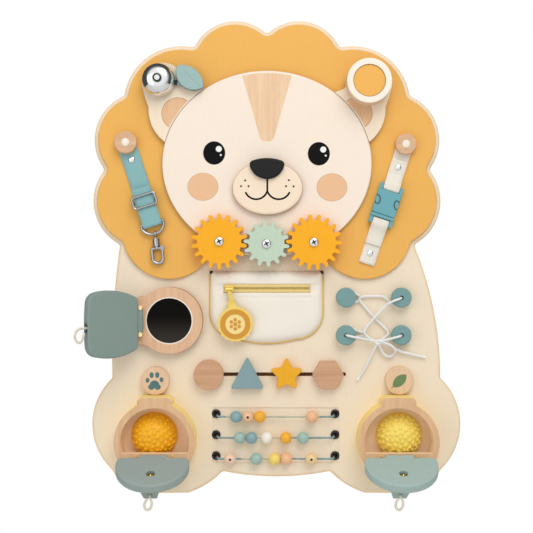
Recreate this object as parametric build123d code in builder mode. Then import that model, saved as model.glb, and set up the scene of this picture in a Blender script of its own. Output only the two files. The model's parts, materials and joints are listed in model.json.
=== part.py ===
from build123d import *
from math import atan2, cos, degrees, hypot, radians, sin, tan
import os

# Wooden lion busy board for a wall, in millimetres.
# X runs to the viewer's right, Z up, and the front looks along -Y.
# The origin is the middle of the back face, which lies on the wall.
# A height is a distance from the wall; a place (x, z) is seen from the front.

os.makedirs("parts", exist_ok=True)

# ---- Driving dimensions -------------------------------------------------

# Layers, from the wall outwards
BACK_T = 4.0
BOARD_T = 15.0
MANE_T = 4.0
FACE_T = 5.0
MUZZLE_T = 7.0
NOSE_T = 4.5
GAP = 0.4  # between pieces that move past each other
FIT = 0.06  # radial running fit of a pin in its bore

# Outline of the board: five lobes a side on the head, then haunches and feet
LOBE_CUSPS = [(0.0, 234.2), (76.4, 220.3), (150.2, 169.6), (170.7, 91.9), (154.6, 13.0)]
LOBE_CRESTS = [(33.9, 248.1), (122.5, 212.5), (181.4, 121.8), (182.6, 60.9)]
LOBE_ROUND = 5.0
RIGHT_FLANK = (173.4, -46.0)
LEFT_FLANK = (-160.6, -40.0)
BODY_X = 9.8  # the lower body stands this far right of the head
HAUNCH_TOP = (172.6, -127.5)  # from the lower body's own middle, as the next five
HAUNCH_SIDE = (192.4, -163.0)
HAUNCH_END = (172.9, -223.9)
SOLE_OUTER = (130.0, -248.6)
SOLE_INNER = (93.0, -248.2)
LEG_NOTCH = (56.6, -225.3)
SOLE_BULGE = (156.5, -242.3)
TOE_BULGE = (76.5, -241.0)
TUMMY_Z = -231.0
NOTCH_ROUND = 4.0
FOOT_ROUND = 12.0
EDGE_ROUND = 4.0
BACK_INSET = 6.0

# Relief layers of the head
MANE_INSET = 4.8
MANE_LOW_LOBE = [(98.0, -28.0), (62.0, -10.0)]
MANE_HEM_Z = 4.0
MANE_HEM_RUN = 14.0
MANE_EDGE = 1.2
FACE_RX = 109.3
FACE_RZ = 97.1
FACE_Z = 97.0
FACE_EDGE = 1.5
EAR_CREST_RIGHT = [(66.0, 160.0), (69.8, 171.0), (80.7, 175.4), (89.6, 191.4)]
EAR_CREST_LEFT = [(60.0, 165.0), (65.6, 174.7), (73.5, 184.0), (91.5, 194.2)]  # mirrored, under the leaf
EAR_CROWN = (114.1, 201.6)
EAR_SIDE = (130.0, 176.7)
EAR_TAPER = (127.0, 166.0)
EAR_WAIST = (123.3, 156.0)
EAR_BULGE = (119.5, 136.0)
EAR_LOW = (105.0, 118.8)
EAR_INNER_AT = (93.1, 149.3)
EAR_INNER_R = 16.8
JOINT_LINE = 0.1  # seam between an ear and the face panel
BLAZE_TOP = 28.0  # half width of the forehead wedge on the face's rim
BLAZE_TOP_Z = 194.0
BLAZE_TIP = 6.2
BLAZE_TIP_Z = 120.6
INLAY_RIM = 2.6
INLAY_DEPTH = 2.0
MUZZLE_AT = (0.5, 71.2)
MUZZLE_RX = 36.7
MUZZLE_RZ = 27.9
MUZZLE_EDGE = 3.0
NOSE_HALF = 18.4
NOSE_SIDE_Z = 98.2
NOSE_TOP_Z = 102.0
NOSE_LOW_Z = 80.3
NOSE_ROUND = 4.5
NOSE_EDGE = 2.0

# Bell and its leaf lever, on the left ear
BELL_AT = (-112.5, 183.3)
BELL_R = 17.1
BELL_H = 14.0
BELL_WALL = 1.3
BELL_LIFT = 4.6
BELL_FOOT_R = 15.6
BELL_FOOT_T = 1.8
BELL_POST_R = 3.4
BELL_NUT_R = 4.6
BELL_NUT_T = 3.0
LEVER_PIN_AT = (-79.3, 179.0)
LEVER_PIN_R = 2.0
LEVER_ARM_T = 1.9
LEVER_ARM_W = 5.0
STRIKER_OUT = 12.0  # from the bell's middle
STRIKER_R = 2.1
STRIKER_H = 5.5
LEAF_T = 6.0
LEAF_SKIN = 1.5  # of the leaf left over its pin
LEAF_TIP = (-92.6, 198.2)
LEAF_STEM = (-65.8, 175.5)
LEAF_OUTER_BELLY = 8.6
LEAF_INNER_BELLY = 13.0

# Turning knob on the right ear
KNOB_AT = (105.0, 180.5)
KNOB_R = 23.2
KNOB_BASE_T = 9.0
KNOB_DIAL_T = 10.5
KNOB_INLAY_R = 16.5
KNOB_INLAY_D = 0.8
KNOB_PIN_R = 6.0
KNOB_PIN_H = 6.5
KNOB_EDGE = 1.2

# Straps: webbing, buttons, buckle and snap hook
STRAP_TILT = 18.0
WEB_T = 1.4
WEB_LIFT = 0.4
WEB_LOOP_R = 3.0  # to the middle of the webbing in a fold
FLAP_RUN = 11.0  # over which a flap comes down on its band
FLAP_BEND = 6.0
FLAP_SEAM = 0.1
LEFT_STRAP_AT = (-147.1, 119.1)
LEFT_WEB_W = 20.0
LEFT_WEB_HEAD = 9.0
LEFT_FOLD_S = 88.0  # distances along a strap, from the middle of its button
LEFT_FLAP_S = 50.0
BUTTON_T = 7.0
LEFT_BUTTON_R = 11.8
RIGHT_BUTTON_R = 11.0
BUTTON_STEM_R = 2.5
BUTTON_EDGE = 1.5
GLIDE_S = 63.9
GLIDE_WIRE = 1.3
GLIDE_BAR_R = 1.1
GLIDE_HALF = 6.0
GLIDE_SIDE = 2.3  # from the webbing's edge to the wire's middle
D_WIRE = 1.5
D_HALF = 11.8
D_DEPTH = 12.0
D_LEG = 4.2
EYE_R = 2.9
EYE_WIRE = 0.9
SNAP_TILT = 6.0
SNAP_NECK_R = 1.5
SNAP_STUD_R = 2.5
SNAP_STUD_T = 1.6
SNAP_BARREL_R = 3.9
SNAP_BARREL_TOP = 5.2
SNAP_BARREL_H = 7.6
SNAP_HALF = 5.4
SNAP_YOKE = 15.0
SNAP_LOW = 32.6
SNAP_WIRE = 1.8
SNAP_MOUTH = 25.4
GATE_R = 1.5
GATE_PIN_R = 0.8
GATE_EYE_R = 1.7
GATE_TONGUE_T = 1.2
GATE_TONGUE_W = 2.2
FORK_R = 2.3
FORK_HALF = 2.3
RIGHT_STRAP_AT = (144.5, 117.2)
RIGHT_WEB_W = 17.0
RIGHT_FOLD_S = 47.5
RIGHT_FLAP_S = 17.0
BUCKLE_W = 25.0
BUCKLE_T = 7.6
BUCKLE_ROUND = 2.4
BUCKLE_EDGE = 0.8
SOCKET_TOP_S = 51.6
SOCKET_END_S = 77.0
SOCKET_WALL = 1.7
SOCKET_DEPTH = 18.6
BUCKLE_BAR_R = 1.3
BUCKLE_WINDOW = 7.0
PRONG_W = 3.4
PRONG_T = 3.2
PRONG_L = 18.0
TONGUE_W = 4.4
TONGUE_T = 2.2
EAR_T = 5.0
PLUG_BASE_L = 3.4
PLUG_BAR_S = 85.4
RIGHT_TAIL_FLAP_S = 110.0
RIGHT_TAIL_S = 131.0

# Gears: fingers round a root circle, in mesh with a wide backlash
GEAR_T = 8.0
GEAR_BUSH = 1.6
BIG_TEETH = 18
SMALL_TEETH = 14
BIG_TIP_R = 28.9
BIG_ROOT_R = 22.9
SMALL_TIP_R = 23.7
SMALL_ROOT_R = 18.6
TOOTH_W = 3.7
TOOTH_ROOT_W = 5.0
TOOTH_FILLET = 0.8
GEAR_SPAN = 49.0
MIDDLE_GEAR_AT = (-0.5, 13.5)
LEFT_GEAR_RISE = 2.4
RIGHT_GEAR_RISE = 1.6
MIDDLE_PHASE = -7.0
GEAR_SCREW_R = 3.0
GEAR_HEAD_R = 4.8
GEAR_HEAD_T = 2.4
GEAR_WASHER_R = 6.5
SCREW_DEPTH = 16.0

# Zip pocket
POCKET_LEFT = -59.4
POCKET_RIGHT = 58.4
POCKET_TOP = -14.7
POCKET_LOW = -86.0
POCKET_BULGE = -90.4
POCKET_ROUND = 28.0
POCKET_TOP_ROUND = 2.0
POCKET_T = 8.0
POCKET_EDGE = 2.6
ZIP_Z = -32.8
ZIP_LEFT = -45.4
ZIP_RIGHT = 45.2
ZIP_GROOVE_W = 3.4
ZIP_GROOVE_D = 1.8
SLIDER_X = -39.2
SLIDER_L = 9.0
SLIDER_W = 7.0
SLIDER_T = 2.6
SLIDER_NOSE = 2.0
KEEL_W = 2.4
PULL_PIN_R = 0.8
PULL_PIN_LIFT = 2.4
LUG_R = 1.7
LUG_T = 1.3
LUG_GAP = 3.4
PULL_DROP = 0.8
PULL_LEAN = 10.0
PULL_DROOP = 5.5
PULL_L = 20.0
PULL_W = 4.4
PULL_T = 1.6
TAG_OUT = 36.6  # from the pull's pin to the tag's middle
TAG_R = 18.7
TAG_LOBES = 18
TAG_LOBE_R = 3.4
TAG_T = 2.4
TAG_NECK_W = 9.0
TAG_NECK_L = 8.0

# Mirror with its door, on the left side
MIRROR_AT = (-101.8, -66.4)
MIRROR_FRAME_R = 35.0
MIRROR_FRAME_T = 10.0
MIRROR_R = 23.4
MIRROR_T = 2.0
MIRROR_SINK = 3.0
MIRROR_TAB_X = -135.8
MIRROR_TAB_HALF = 25.2
MIRROR_TAB_ROUND = 3.0
MIRROR_TAB_BLEND = 12.0
FRAME_EDGE = 1.0
MIRROR_DOOR_W = 62.5
MIRROR_DOOR_DROP = 2.4  # of its middle below the hinge's middle
MIRROR_DOOR_SIDE = 26.0  # half height at the hinge
MIRROR_DOOR_CREST = (30.0, 34.1)
MIRROR_DOOR_FREE = 30.0
MIRROR_DOOR_BULGE = 1.5
MIRROR_DOOR_ROUND = 12.0
MIRROR_DOOR_HINGE_ROUND = 5.0
MIRROR_DOOR_OPEN = 143.0
ROPE_SLOT_DROP = 5.5  # in the free edge, below the hinge's middle
ROPE_SLOT_L = 11.4
ROPE_SLOT_W = 6.6
ROPE_SLOT_D = 6.2

# Hinges: a rod through two posts, with the door's knuckle between them
HINGE_X = -131.4
HINGE_LIFT = 4.9
HINGE_ROD_R = 1.6
HINGE_EDGE = 4.2  # from a hinge's axis to the edge of its door
KNUCKLE_R = 3.2
KNUCKLE_WEB = 2.8
KNUCKLE_REACH = 6.0
POST_R = 2.4
POST_GAP = 0.4
MIRROR_KNUCKLE_L = 22.1
PAW_KNUCKLE_L = 28.0

# Paw boxes with their doors and nubbed balls
PAW_LEFT_AT = (-115.5, -190.9)
PAW_RIGHT_AT = (135.4, -190.9)
PAW_R = 42.0
PAW_T = 26.0
PAW_OPEN_R = 35.5
PAW_SILL = 11.0  # below the opening's middle
PAW_SILL_T = 8.0
PAW_CROWN_W = 36.0
PAW_CROWN_TOP = 46.6
PAW_CROWN_ROUND = 6.0
PAW_CROWN_BLEND = 1.6
BALL_LEFT_AT = (-118.0, -186.9)
BALL_RIGHT_AT = (138.2, -186.9)
BALL_R = 24.4
BALL_H = 19.0
NUB_R = 1.7
NUB_H = 1.3
NUB_SINK = 0.6
NUB_TAPER = 12.0
NUB_RINGS = [(0.0, 1), (9.4, 6), (15.6, 12), (20.8, 18)]
PAW_DOOR_R = 37.0
PAW_DOOR_OPEN = 115.0
PAW_HINGE_DROP = 14.8
DOOR_T = 10.0
DOOR_GAP = 0.5
DOOR_EDGE = 2.2
DOOR_HOLE_OUT = 32.0
DOOR_HOLE_R = 4.6
DOOR_HOLE_D = 4.0
TAB_W = 20.0
TAB_END_W = 13.0
TAB_T = 12.0
TAB_IN = 27.0
TAB_OUT = 46.5
TAB_RIGHT_SHIFT = -4.0
ROPE_R = 1.4
ROPE_HOLE_R = 1.8
ROPE_HOLE_L = 8.0
ROPE_HOLE_DOWN = 6.0  # from the door's outer face

# Routes of the rope loops: places (x, height, z), a paw's from its own middle
MIRROR_ROPE = [
    (-176.5, 67.9, -72.3),
    (-183.8, 73.4, -71.6),
    (-188.6, 76.0, -72.6),
    (-191.4, 77.6, -78.2),
    (-190.0, 77.8, -84.4),
    (-186.4, 77.4, -86.6),
    (-183.0, 76.8, -83.0),
    (-182.4, 75.8, -76.2),
]
PAW_ROPE = [
    (0.0, 82.0, -233.3),
    (0.0, 89.0, -236.6),
    (2.6, 90.4, -241.4),
    (1.8, 90.8, -246.8),
    (-2.2, 90.8, -249.8),
    (-5.4, 90.6, -246.2),
    (-4.6, 90.2, -240.8),
    (-2.0, 90.0, -238.0),
]

# Turning buttons
PAW_BUTTON_AT = (-116.8, -129.5)
LEAF_BUTTON_AT = (138.2, -129.2)
TURN_BUTTON_R = 14.8
TURN_BUTTON_T = 8.0
TURN_STEM_R = 4.0
TURN_STEM_L = 10.0

# Lacing knobs
KNOB_XS = [82.3, 140.1]
KNOB_ZS = [-42.4, -81.6]
LACE_KNOB_R = 10.4
LACE_NECK_R = 6.5
LACE_NECK_T = 5.0
LACE_CAP_T = 6.0
LACE_HOLE_R = 2.2
LACE_R = 1.3
LACE_KNOT = (115.9, 25.8, -89.1)
KNOT_R = 3.4
LACE_RUNS = {
    "cross": [
        LACE_KNOT,
        (123.6, 23.4, -84.2),
        (127.4, 22.4, -80.6),
        (126.4, 21.6, -76.8),
        (112.3, 21.2, -63.5),
        (98.4, 21.6, -47.4),
        (96.2, 21.8, -43.8),
        (99.2, 21.6, -41.3),
        (111.0, 21.8, -41.0),
        (122.4, 21.6, -41.3),
        (126.4, 21.6, -44.6),
        (130.4, 21.4, -49.4),
        (137.4, 21.4, -51.4),
        (146.0, 21.4, -48.6),
    ],
    "diagonal": [
        (140.1, 26.0, -42.6),
        (140.1, 31.9, -42.8),
        (130.4, 31.9, -46.0),
        (123.6, 28.8, -50.4),
        (112.3, 26.2, -63.3),
        (101.6, 25.4, -75.6),
        (101.8, 25.2, -80.8),
        (108.6, 25.4, -86.2),
        LACE_KNOT,
    ],
    "upper left neck": [
        (97.0, 21.6, -41.0),
        (90.4, 21.4, -37.0),
        (84.4, 21.4, -33.8),
        (76.8, 21.4, -35.2),
        (73.5, 21.4, -42.4),
        (76.8, 21.4, -49.6),
        (84.4, 21.4, -51.0),
        (90.6, 21.4, -47.8),
        (97.0, 21.6, -45.6),
    ],
    "lower left neck": [
        (102.6, 22.4, -79.4),
        (96.6, 21.6, -78.2),
        (90.4, 21.4, -76.0),
        (84.4, 21.4, -73.0),
        (76.8, 21.4, -74.4),
        (73.5, 21.4, -81.6),
        (76.8, 21.4, -88.8),
        (84.4, 21.4, -90.2),
        (90.6, 21.4, -85.4),
        (96.6, 21.6, -82.6),
        (102.8, 22.6, -82.4),
    ],
    "lower left": [
        (82.3, 26.0, -81.4),
        (82.3, 31.9, -81.6),
        (94.0, 32.0, -84.0),
        (103.6, 28.2, -86.0),
        LACE_KNOT,
    ],
    "lower right": [
        (140.1, 26.0, -81.8),
        (140.1, 31.9, -82.0),
        (128.6, 31.9, -84.8),
        LACE_KNOT,
    ],
    "left tail": [
        LACE_KNOT,
        (112.4, 24.6, -94.6),
        (107.8, 23.2, -105.2),
        (102.1, 22.2, -117.5),
        (94.8, 21.4, -128.6),
    ],
    "right tail": [
        LACE_KNOT,
        (122.5, 25.4, -91.2),
        (127.8, 25.2, -91.2),
        (133.2, 24.8, -95.0),
        (140.0, 23.6, -99.0),
        (153.2, 22.2, -102.2),
        (166.0, 21.4, -105.1),
    ],
    "bow": [
        LACE_KNOT,
        (118.6, 24.2, -96.2),
        (122.3, 23.0, -102.2),
        (127.6, 22.6, -105.0),
        (132.8, 23.6, -102.6),
        (134.6, 27.6, -98.2),
        (131.2, 29.4, -93.4),
        (124.6, 28.8, -89.6),
        (117.6, 27.4, -88.4),
    ],
}

# Shape sliders in their slot
SLOT_Z = -123.2
SLOT_LEFT = -70.3
SLOT_RIGHT = 83.0
SLOT_W = 4.0
CHANNEL_W = 15.0
CHANNEL_D = 6.0
SHAPE_T = 8.5
SHAPE_LIFT = 0.5
SHAPE_EDGE = 0.8
STEM_R = 1.75
FLANGE_R = 6.0
FLANGE_T = 3.0
DISC_X = -60.9
DISC_R = 15.6
TRIANGLE_X = -20.6
TRIANGLE_HALF = 17.4
TRIANGLE_TOP = 19.0
TRIANGLE_LOW = -14.2
STAR_X = 20.6
STAR_R = 18.4
STAR_INNER = 0.52
HEXAGON_X = 63.8
HEXAGON_R = 16.6
SHAPE_ROUND = 1.5

# Abacus
RECESS_LEFT = -57.3
RECESS_RIGHT = 75.8
RECESS_TOP = -158.0
RECESS_LOW = -216.0
RECESS_D = 1.0
ROW_ZS = [-167.0, -189.0, -211.0]
CORD_LEFT = -53.4
CORD_RIGHT = 71.5
CORD_LIFT = 6.6
CORD_DROP = 1.2  # of a row below where its cord leaves the holes
CORD_ASIDE = 1.0
HOLE_RISE = 2.4  # of the holes above their row
CORD_R = 1.2
CORD_BEND = 3.2
CORD_HOLE_R = 4.2
CORD_IN = 6.0
BEAD_R = 6.2
BEAD_BORE = 1.6
BEADS = {
    "beads_blue_natural_amber": (0, [-32.4, -20.0, -7.6]),
    "bead_peach_top": (0, [47.0]),
    "beads_sage_blue": (1, [-28.6, -16.1]),
    "bead_white": (1, [-0.3]),
    "bead_amber": (1, [19.7]),
    "bead_sage_right": (1, [37.8]),
    "bead_pink": (2, [-38.5]),
    "bead_sage_low": (2, [-11.3]),
    "beads_yellow_peach": (2, [7.9, 20.4]),
    "bead_tan": (2, [46.2]),
}

# Holes in the back for hanging
HANG_X = 95.0
HANG_Z = 150.0
HANG_R = 4.0
HANG_DEPTH = 14.0

# ---- Heights that follow ------------------------------------------------

BOARD_FRONT = BACK_T + BOARD_T
MANE_FRONT = BOARD_FRONT + MANE_T
FACE_FRONT = MANE_FRONT + FACE_T
MUZZLE_FRONT = FACE_FRONT + MUZZLE_T
WEB_MIDDLE = MANE_FRONT + WEB_LIFT + WEB_T / 2
FOLD_HEIGHT = WEB_MIDDLE + WEB_LOOP_R
FLAP_MIDDLE = FOLD_HEIGHT + WEB_LOOP_R
GEAR_BACK = FACE_FRONT + GEAR_BUSH + GAP
POCKET_FRONT = BOARD_FRONT + POCKET_T
MIRROR_FRONT = BOARD_FRONT + MIRROR_FRAME_T
PAW_FRONT = BOARD_FRONT + PAW_T
SHAPE_BACK = BOARD_FRONT + SHAPE_LIFT


# ---- Planes and shared shapes -------------------------------------------


def front(height, at=(0.0, 0.0), tilt=0.0):
    """A plane that faces the viewer at a height, with local x to the right and y up."""
    turn = radians(tilt)
    return Plane(
        origin=(at[0], -height, at[1]),
        x_dir=(cos(turn), 0, sin(turn)),
        z_dir=(0, -1, 0),
    )


def side(at, tilt):
    """A plane across a strap: local x runs down the strap and y is the height."""
    turn = radians(tilt)
    return Plane(
        origin=(at[0], 0, at[1]),
        x_dir=(sin(turn), 0, -cos(turn)),
        z_dir=(-cos(turn), 0, -sin(turn)),
    )


def along(at, tilt, s):
    """The place (x, z) at a distance s down a strap."""
    turn = radians(tilt)
    return (at[0] + s * sin(turn), at[1] - s * cos(turn))


def flip(point, middle=0.0):
    """The place mirrored about the upright line x = middle."""
    return (2 * middle - point[0], point[1])


def body_place(point, hand):
    """A place given from the lower body's middle, on its right (1) or left (-1)."""
    return (BODY_X + hand * point[0], point[1])


def corners_at(vertices, places):
    """The vertices of a flat sketch that lie at the given places."""
    return [v for v in vertices if any(hypot(v.X - x, v.Y - y) < 0.01 for x, y in places)]


def save(part, name):
    """Label a finished sub-part and write it."""
    part.label = name
    export_step(part, f"parts/{name}.step")


def board_face():
    """The outline of the whole board as a flat face."""
    cusps_left = [flip(p) for p in LOBE_CUSPS]
    notches = [body_place(HAUNCH_TOP, 1), body_place(HAUNCH_TOP, -1)]
    legs = [body_place(LEG_NOTCH, 1), body_place(LEG_NOTCH, -1)]
    with BuildSketch() as sketch:
        with BuildLine():
            for start, crest, end in zip(LOBE_CUSPS, LOBE_CRESTS, LOBE_CUSPS[1:]):
                ThreePointArc(start, crest, end)
                ThreePointArc(flip(start), flip(crest), flip(end))
            ThreePointArc(LOBE_CUSPS[-1], RIGHT_FLANK, notches[0])
            ThreePointArc(cusps_left[-1], LEFT_FLANK, notches[1])
            for hand, notch, leg in zip((1, -1), notches, legs):
                heel = body_place(HAUNCH_END, hand)
                outer = body_place(SOLE_OUTER, hand)
                inner = body_place(SOLE_INNER, hand)
                ThreePointArc(notch, body_place(HAUNCH_SIDE, hand), heel)
                ThreePointArc(heel, body_place(SOLE_BULGE, hand), outer)
                Line(outer, inner)
                ThreePointArc(inner, body_place(TOE_BULGE, hand), leg)
            ThreePointArc(legs[0], (BODY_X, TUMMY_Z), legs[1])
        make_face()
        cusps = corners_at(sketch.vertices(), LOBE_CUSPS[:-1] + cusps_left[1:-1])
        fillet(cusps, radius=LOBE_ROUND)
        rest = [LOBE_CUSPS[-1], cusps_left[-1], *notches, *legs]
        fillet(corners_at(sketch.vertices(), rest), radius=NOTCH_ROUND)
        soles = (HAUNCH_END, SOLE_OUTER, SOLE_INNER)
        feet = [body_place(point, hand) for point in soles for hand in (1, -1)]
        fillet(corners_at(sketch.vertices(), feet), radius=FOOT_ROUND)
    return sketch.sketch


def head_face():
    """The mane: the head's lobes, closed by a low lobe a side and a hem under the chin."""
    low_crest, low_end = MANE_LOW_LOBE
    hem = (low_end[0] - MANE_HEM_RUN, MANE_HEM_Z - MANE_INSET)
    with BuildSketch() as sketch:
        with BuildLine():
            for start, crest, end in zip(LOBE_CUSPS, LOBE_CRESTS, LOBE_CUSPS[1:]):
                ThreePointArc(start, crest, end)
                ThreePointArc(flip(start), flip(crest), flip(end))
            for place in (Vector, flip):
                shoulder = place(LOBE_CUSPS[-1])
                ThreePointArc(shoulder, place(low_crest), place(low_end))
                Line(place(low_end), place(hem))
            Line(hem, flip(hem))
        make_face()
        fillet(sketch.vertices(), radius=LOBE_ROUND)
    return sketch.sketch


def inset_face(face, amount):
    """A face drawn again inside another, with arcs and lines that meet exactly."""
    with BuildSketch() as rough:
        add(face)
        offset(amount=-amount, kind=Kind.INTERSECTION)
    edges = rough.sketch.faces()[0].outer_wire().order_edges()
    starts = [edge @ 0 for edge in edges]
    with BuildSketch() as sketch:
        with BuildLine():
            for edge, start, end in zip(edges, starts, starts[1:] + starts[:1]):
                if edge.geom_type == GeomType.LINE:
                    Line(start, end)
                else:
                    ThreePointArc(start, edge @ 0.5, end)
        make_face()
    return sketch.sketch


def face_ellipse(inset=0.0):
    """The face panel's outline, or one that lies inside it."""
    with BuildSketch() as sketch:
        with Locations((0, FACE_Z)):
            Ellipse(FACE_RX - inset, FACE_RZ - inset)
    return sketch.sketch


def blaze_face():
    """The forehead wedge, cut off a rim short of the face's edge."""
    with BuildSketch() as sketch:
        with BuildLine():
            Polyline(
                (-BLAZE_TIP, BLAZE_TIP_Z),
                (BLAZE_TIP, BLAZE_TIP_Z),
                (BLAZE_TOP, BLAZE_TOP_Z + INLAY_RIM),
                (-BLAZE_TOP, BLAZE_TOP_Z + INLAY_RIM),
                close=True,
            )
        make_face()
        tip = corners_at(sketch.vertices(), [(-BLAZE_TIP, BLAZE_TIP_Z), (BLAZE_TIP, BLAZE_TIP_Z)])
        fillet(tip, radius=0.85 * BLAZE_TIP)
        add(face_ellipse(INLAY_RIM), mode=Mode.INTERSECT)
    return sketch.sketch


def ear_face(crest):
    """An ear's outline on the right side, open to the face panel's edge."""
    with BuildSketch() as sketch:
        with BuildLine():
            Polyline(*crest)
            ThreePointArc(crest[-1], EAR_CROWN, EAR_SIDE)
            ThreePointArc(EAR_SIDE, EAR_TAPER, EAR_WAIST)
            ThreePointArc(EAR_WAIST, EAR_BULGE, EAR_LOW)
            Line(EAR_LOW, crest[0])
        make_face()
        add(face_ellipse(-JOINT_LINE), mode=Mode.SUBTRACT)
    return sketch.sketch


def inner_ear_face():
    """The right ear's beech inlay."""
    with BuildSketch() as sketch:
        with Locations(EAR_INNER_AT):
            Circle(EAR_INNER_R)
        add(face_ellipse(-JOINT_LINE - INLAY_RIM / 2), mode=Mode.SUBTRACT)
    return sketch.sketch


def wire_sweep(path, radius):
    """Add a round wire along a path to the part."""
    with BuildSketch(Plane(origin=path @ 0, z_dir=path % 0)) as section:
        Circle(radius)
    sweep(sections=section.sketch, path=path)


def cord_path(name, points):
    """A cord's route as straight runs with the largest arcs that they allow."""
    places = [Vector(x, -height, z) for x, height, z in points]
    radii = []
    for before, corner, after in zip(places, places[1:], places[2:]):
        run_in, run_out = corner - before, after - corner
        turn = radians(run_in.get_angle(run_out))
        radii.append(0.45 * min(run_in.length, run_out.length) / tan(turn / 2))
    with BuildLine():
        path = FilletPolyline(*places, radius=radii)
    print(f"{name}: length {path.length:.1f}, smallest bend radius {min(radii):.1f}")
    return path


def place_in(plane, u, v, w):
    """A point given in a plane's own frame."""
    return plane.from_local_coords(Vector(u, v, w))


def front_edges(part):
    """The edges round the foremost faces that look forward."""
    return part.faces().filter_by(Axis.Y).sort_by(Axis.Y)[0].outer_wire().edges()


# ---- Board and relief layers --------------------------------------------

gear_places = []
for hand, rise in ((-1, LEFT_GEAR_RISE), (1, RIGHT_GEAR_RISE)):
    reach = (GEAR_SPAN**2 - rise**2) ** 0.5
    gear_places.append((MIDDLE_GEAR_AT[0] + hand * reach, MIDDLE_GEAR_AT[1] + rise))
left_gear_at, right_gear_at = gear_places
gear_places.insert(1, MIDDLE_GEAR_AT)
lacing_places = [(x, z) for z in KNOB_ZS for x in KNOB_XS]
cord_places = [(x, z + HOLE_RISE) for z in ROW_ZS for x in (CORD_LEFT, CORD_RIGHT)]
hang_places = [(-HANG_X, HANG_Z), (HANG_X, HANG_Z)]

with BuildPart() as main_board:
    with BuildSketch(front(BACK_T)):
        add(board_face())
    extrude(amount=BOARD_T)
    rim = main_board.faces().filter_by(Axis.Y).sort_by(Axis.Y)[0].outer_wire()
    fillet(rim.edges(), radius=EDGE_ROUND)
    # slot for the shape sliders, with a wider channel behind it
    slot_middle = ((SLOT_LEFT + SLOT_RIGHT) / 2, SLOT_Z)
    with BuildSketch(front(BACK_T, slot_middle)):
        SlotOverall(SLOT_RIGHT - SLOT_LEFT, SLOT_W)
    extrude(amount=BOARD_T, mode=Mode.SUBTRACT)
    with BuildSketch(front(BACK_T, slot_middle)):
        SlotOverall(SLOT_RIGHT - SLOT_LEFT + CHANNEL_W - SLOT_W, CHANNEL_W)
    extrude(amount=CHANNEL_D, mode=Mode.SUBTRACT)
    # shallow recess and cord holes of the abacus
    with BuildSketch(front(BOARD_FRONT - RECESS_D)):
        with Locations(((RECESS_LEFT + RECESS_RIGHT) / 2, (RECESS_TOP + RECESS_LOW) / 2)):
            Rectangle(RECESS_RIGHT - RECESS_LEFT, RECESS_TOP - RECESS_LOW)
    extrude(amount=RECESS_D, mode=Mode.SUBTRACT)
    with BuildSketch(front(BACK_T)):
        with Locations(*cord_places):
            Circle(CORD_HOLE_R)
    extrude(amount=BOARD_T, mode=Mode.SUBTRACT)
    # sockets for screws, stems and hanging pegs
    with BuildSketch(front(FACE_FRONT - SCREW_DEPTH)):
        with Locations(*gear_places):
            Circle(GEAR_SCREW_R)
    extrude(amount=BOARD_T, mode=Mode.SUBTRACT)
    with BuildSketch(front(BOARD_FRONT - TURN_STEM_L - GAP)):
        with Locations(PAW_BUTTON_AT, LEAF_BUTTON_AT):
            Circle(TURN_STEM_R + FIT)
    extrude(amount=BOARD_T, mode=Mode.SUBTRACT)
    with BuildSketch(front(BACK_T)):
        with Locations(*hang_places):
            Circle(HANG_R)
    extrude(amount=HANG_DEPTH - BACK_T, mode=Mode.SUBTRACT)

with BuildPart() as back_panel:
    with BuildSketch(front(0)):
        add(inset_face(board_face(), BACK_INSET))
        with Locations(*hang_places):
            Circle(HANG_R, mode=Mode.SUBTRACT)
    extrude(amount=BACK_T)

with BuildPart() as mane_panel:
    with BuildSketch(front(BOARD_FRONT)):
        add(inset_face(head_face(), MANE_INSET))
        with Locations(*gear_places):
            Circle(GEAR_SCREW_R, mode=Mode.SUBTRACT)
    extrude(amount=MANE_T)
    rim = mane_panel.faces().filter_by(Axis.Y).sort_by(Axis.Y)[0].outer_wire()
    fillet(rim.edges(), radius=MANE_EDGE)

with BuildPart() as face_panel:
    with BuildSketch(front(MANE_FRONT)):
        add(face_ellipse())
    extrude(amount=FACE_T)
    rim = face_panel.faces().filter_by(Axis.Y).sort_by(Axis.Y)[0].edges()
    fillet(rim, radius=FACE_EDGE)
    with BuildSketch(front(FACE_FRONT - INLAY_DEPTH)):
        add(blaze_face())
    extrude(amount=FACE_T, mode=Mode.SUBTRACT)
    with BuildSketch(front(MANE_FRONT)):
        with Locations(*gear_places):
            Circle(GEAR_SCREW_R)
    extrude(amount=FACE_T, mode=Mode.SUBTRACT)

with BuildPart() as ears_and_muzzle:
    with BuildSketch(front(MANE_FRONT)):
        add(ear_face(EAR_CREST_RIGHT))
        mirror(ear_face(EAR_CREST_LEFT), about=Plane.YZ)
    extrude(amount=FACE_T)
    with BuildSketch(front(FACE_FRONT - INLAY_DEPTH)):
        add(inner_ear_face())
        mirror(about=Plane.YZ)
    extrude(amount=FACE_T, mode=Mode.SUBTRACT)
    with BuildSketch(front(FACE_FRONT, MUZZLE_AT)):
        Ellipse(MUZZLE_RX, MUZZLE_RZ)
    extrude(amount=MUZZLE_T)
    muzzle_front = ears_and_muzzle.faces().filter_by(Axis.Y).sort_by(Axis.Y)[0]
    fillet(muzzle_front.edges(), radius=MUZZLE_EDGE)

with BuildPart() as beech_inlays:
    with BuildSketch(front(FACE_FRONT - INLAY_DEPTH)):
        add(inner_ear_face())
        mirror(about=Plane.YZ)
        add(blaze_face())
    extrude(amount=INLAY_DEPTH)

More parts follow.
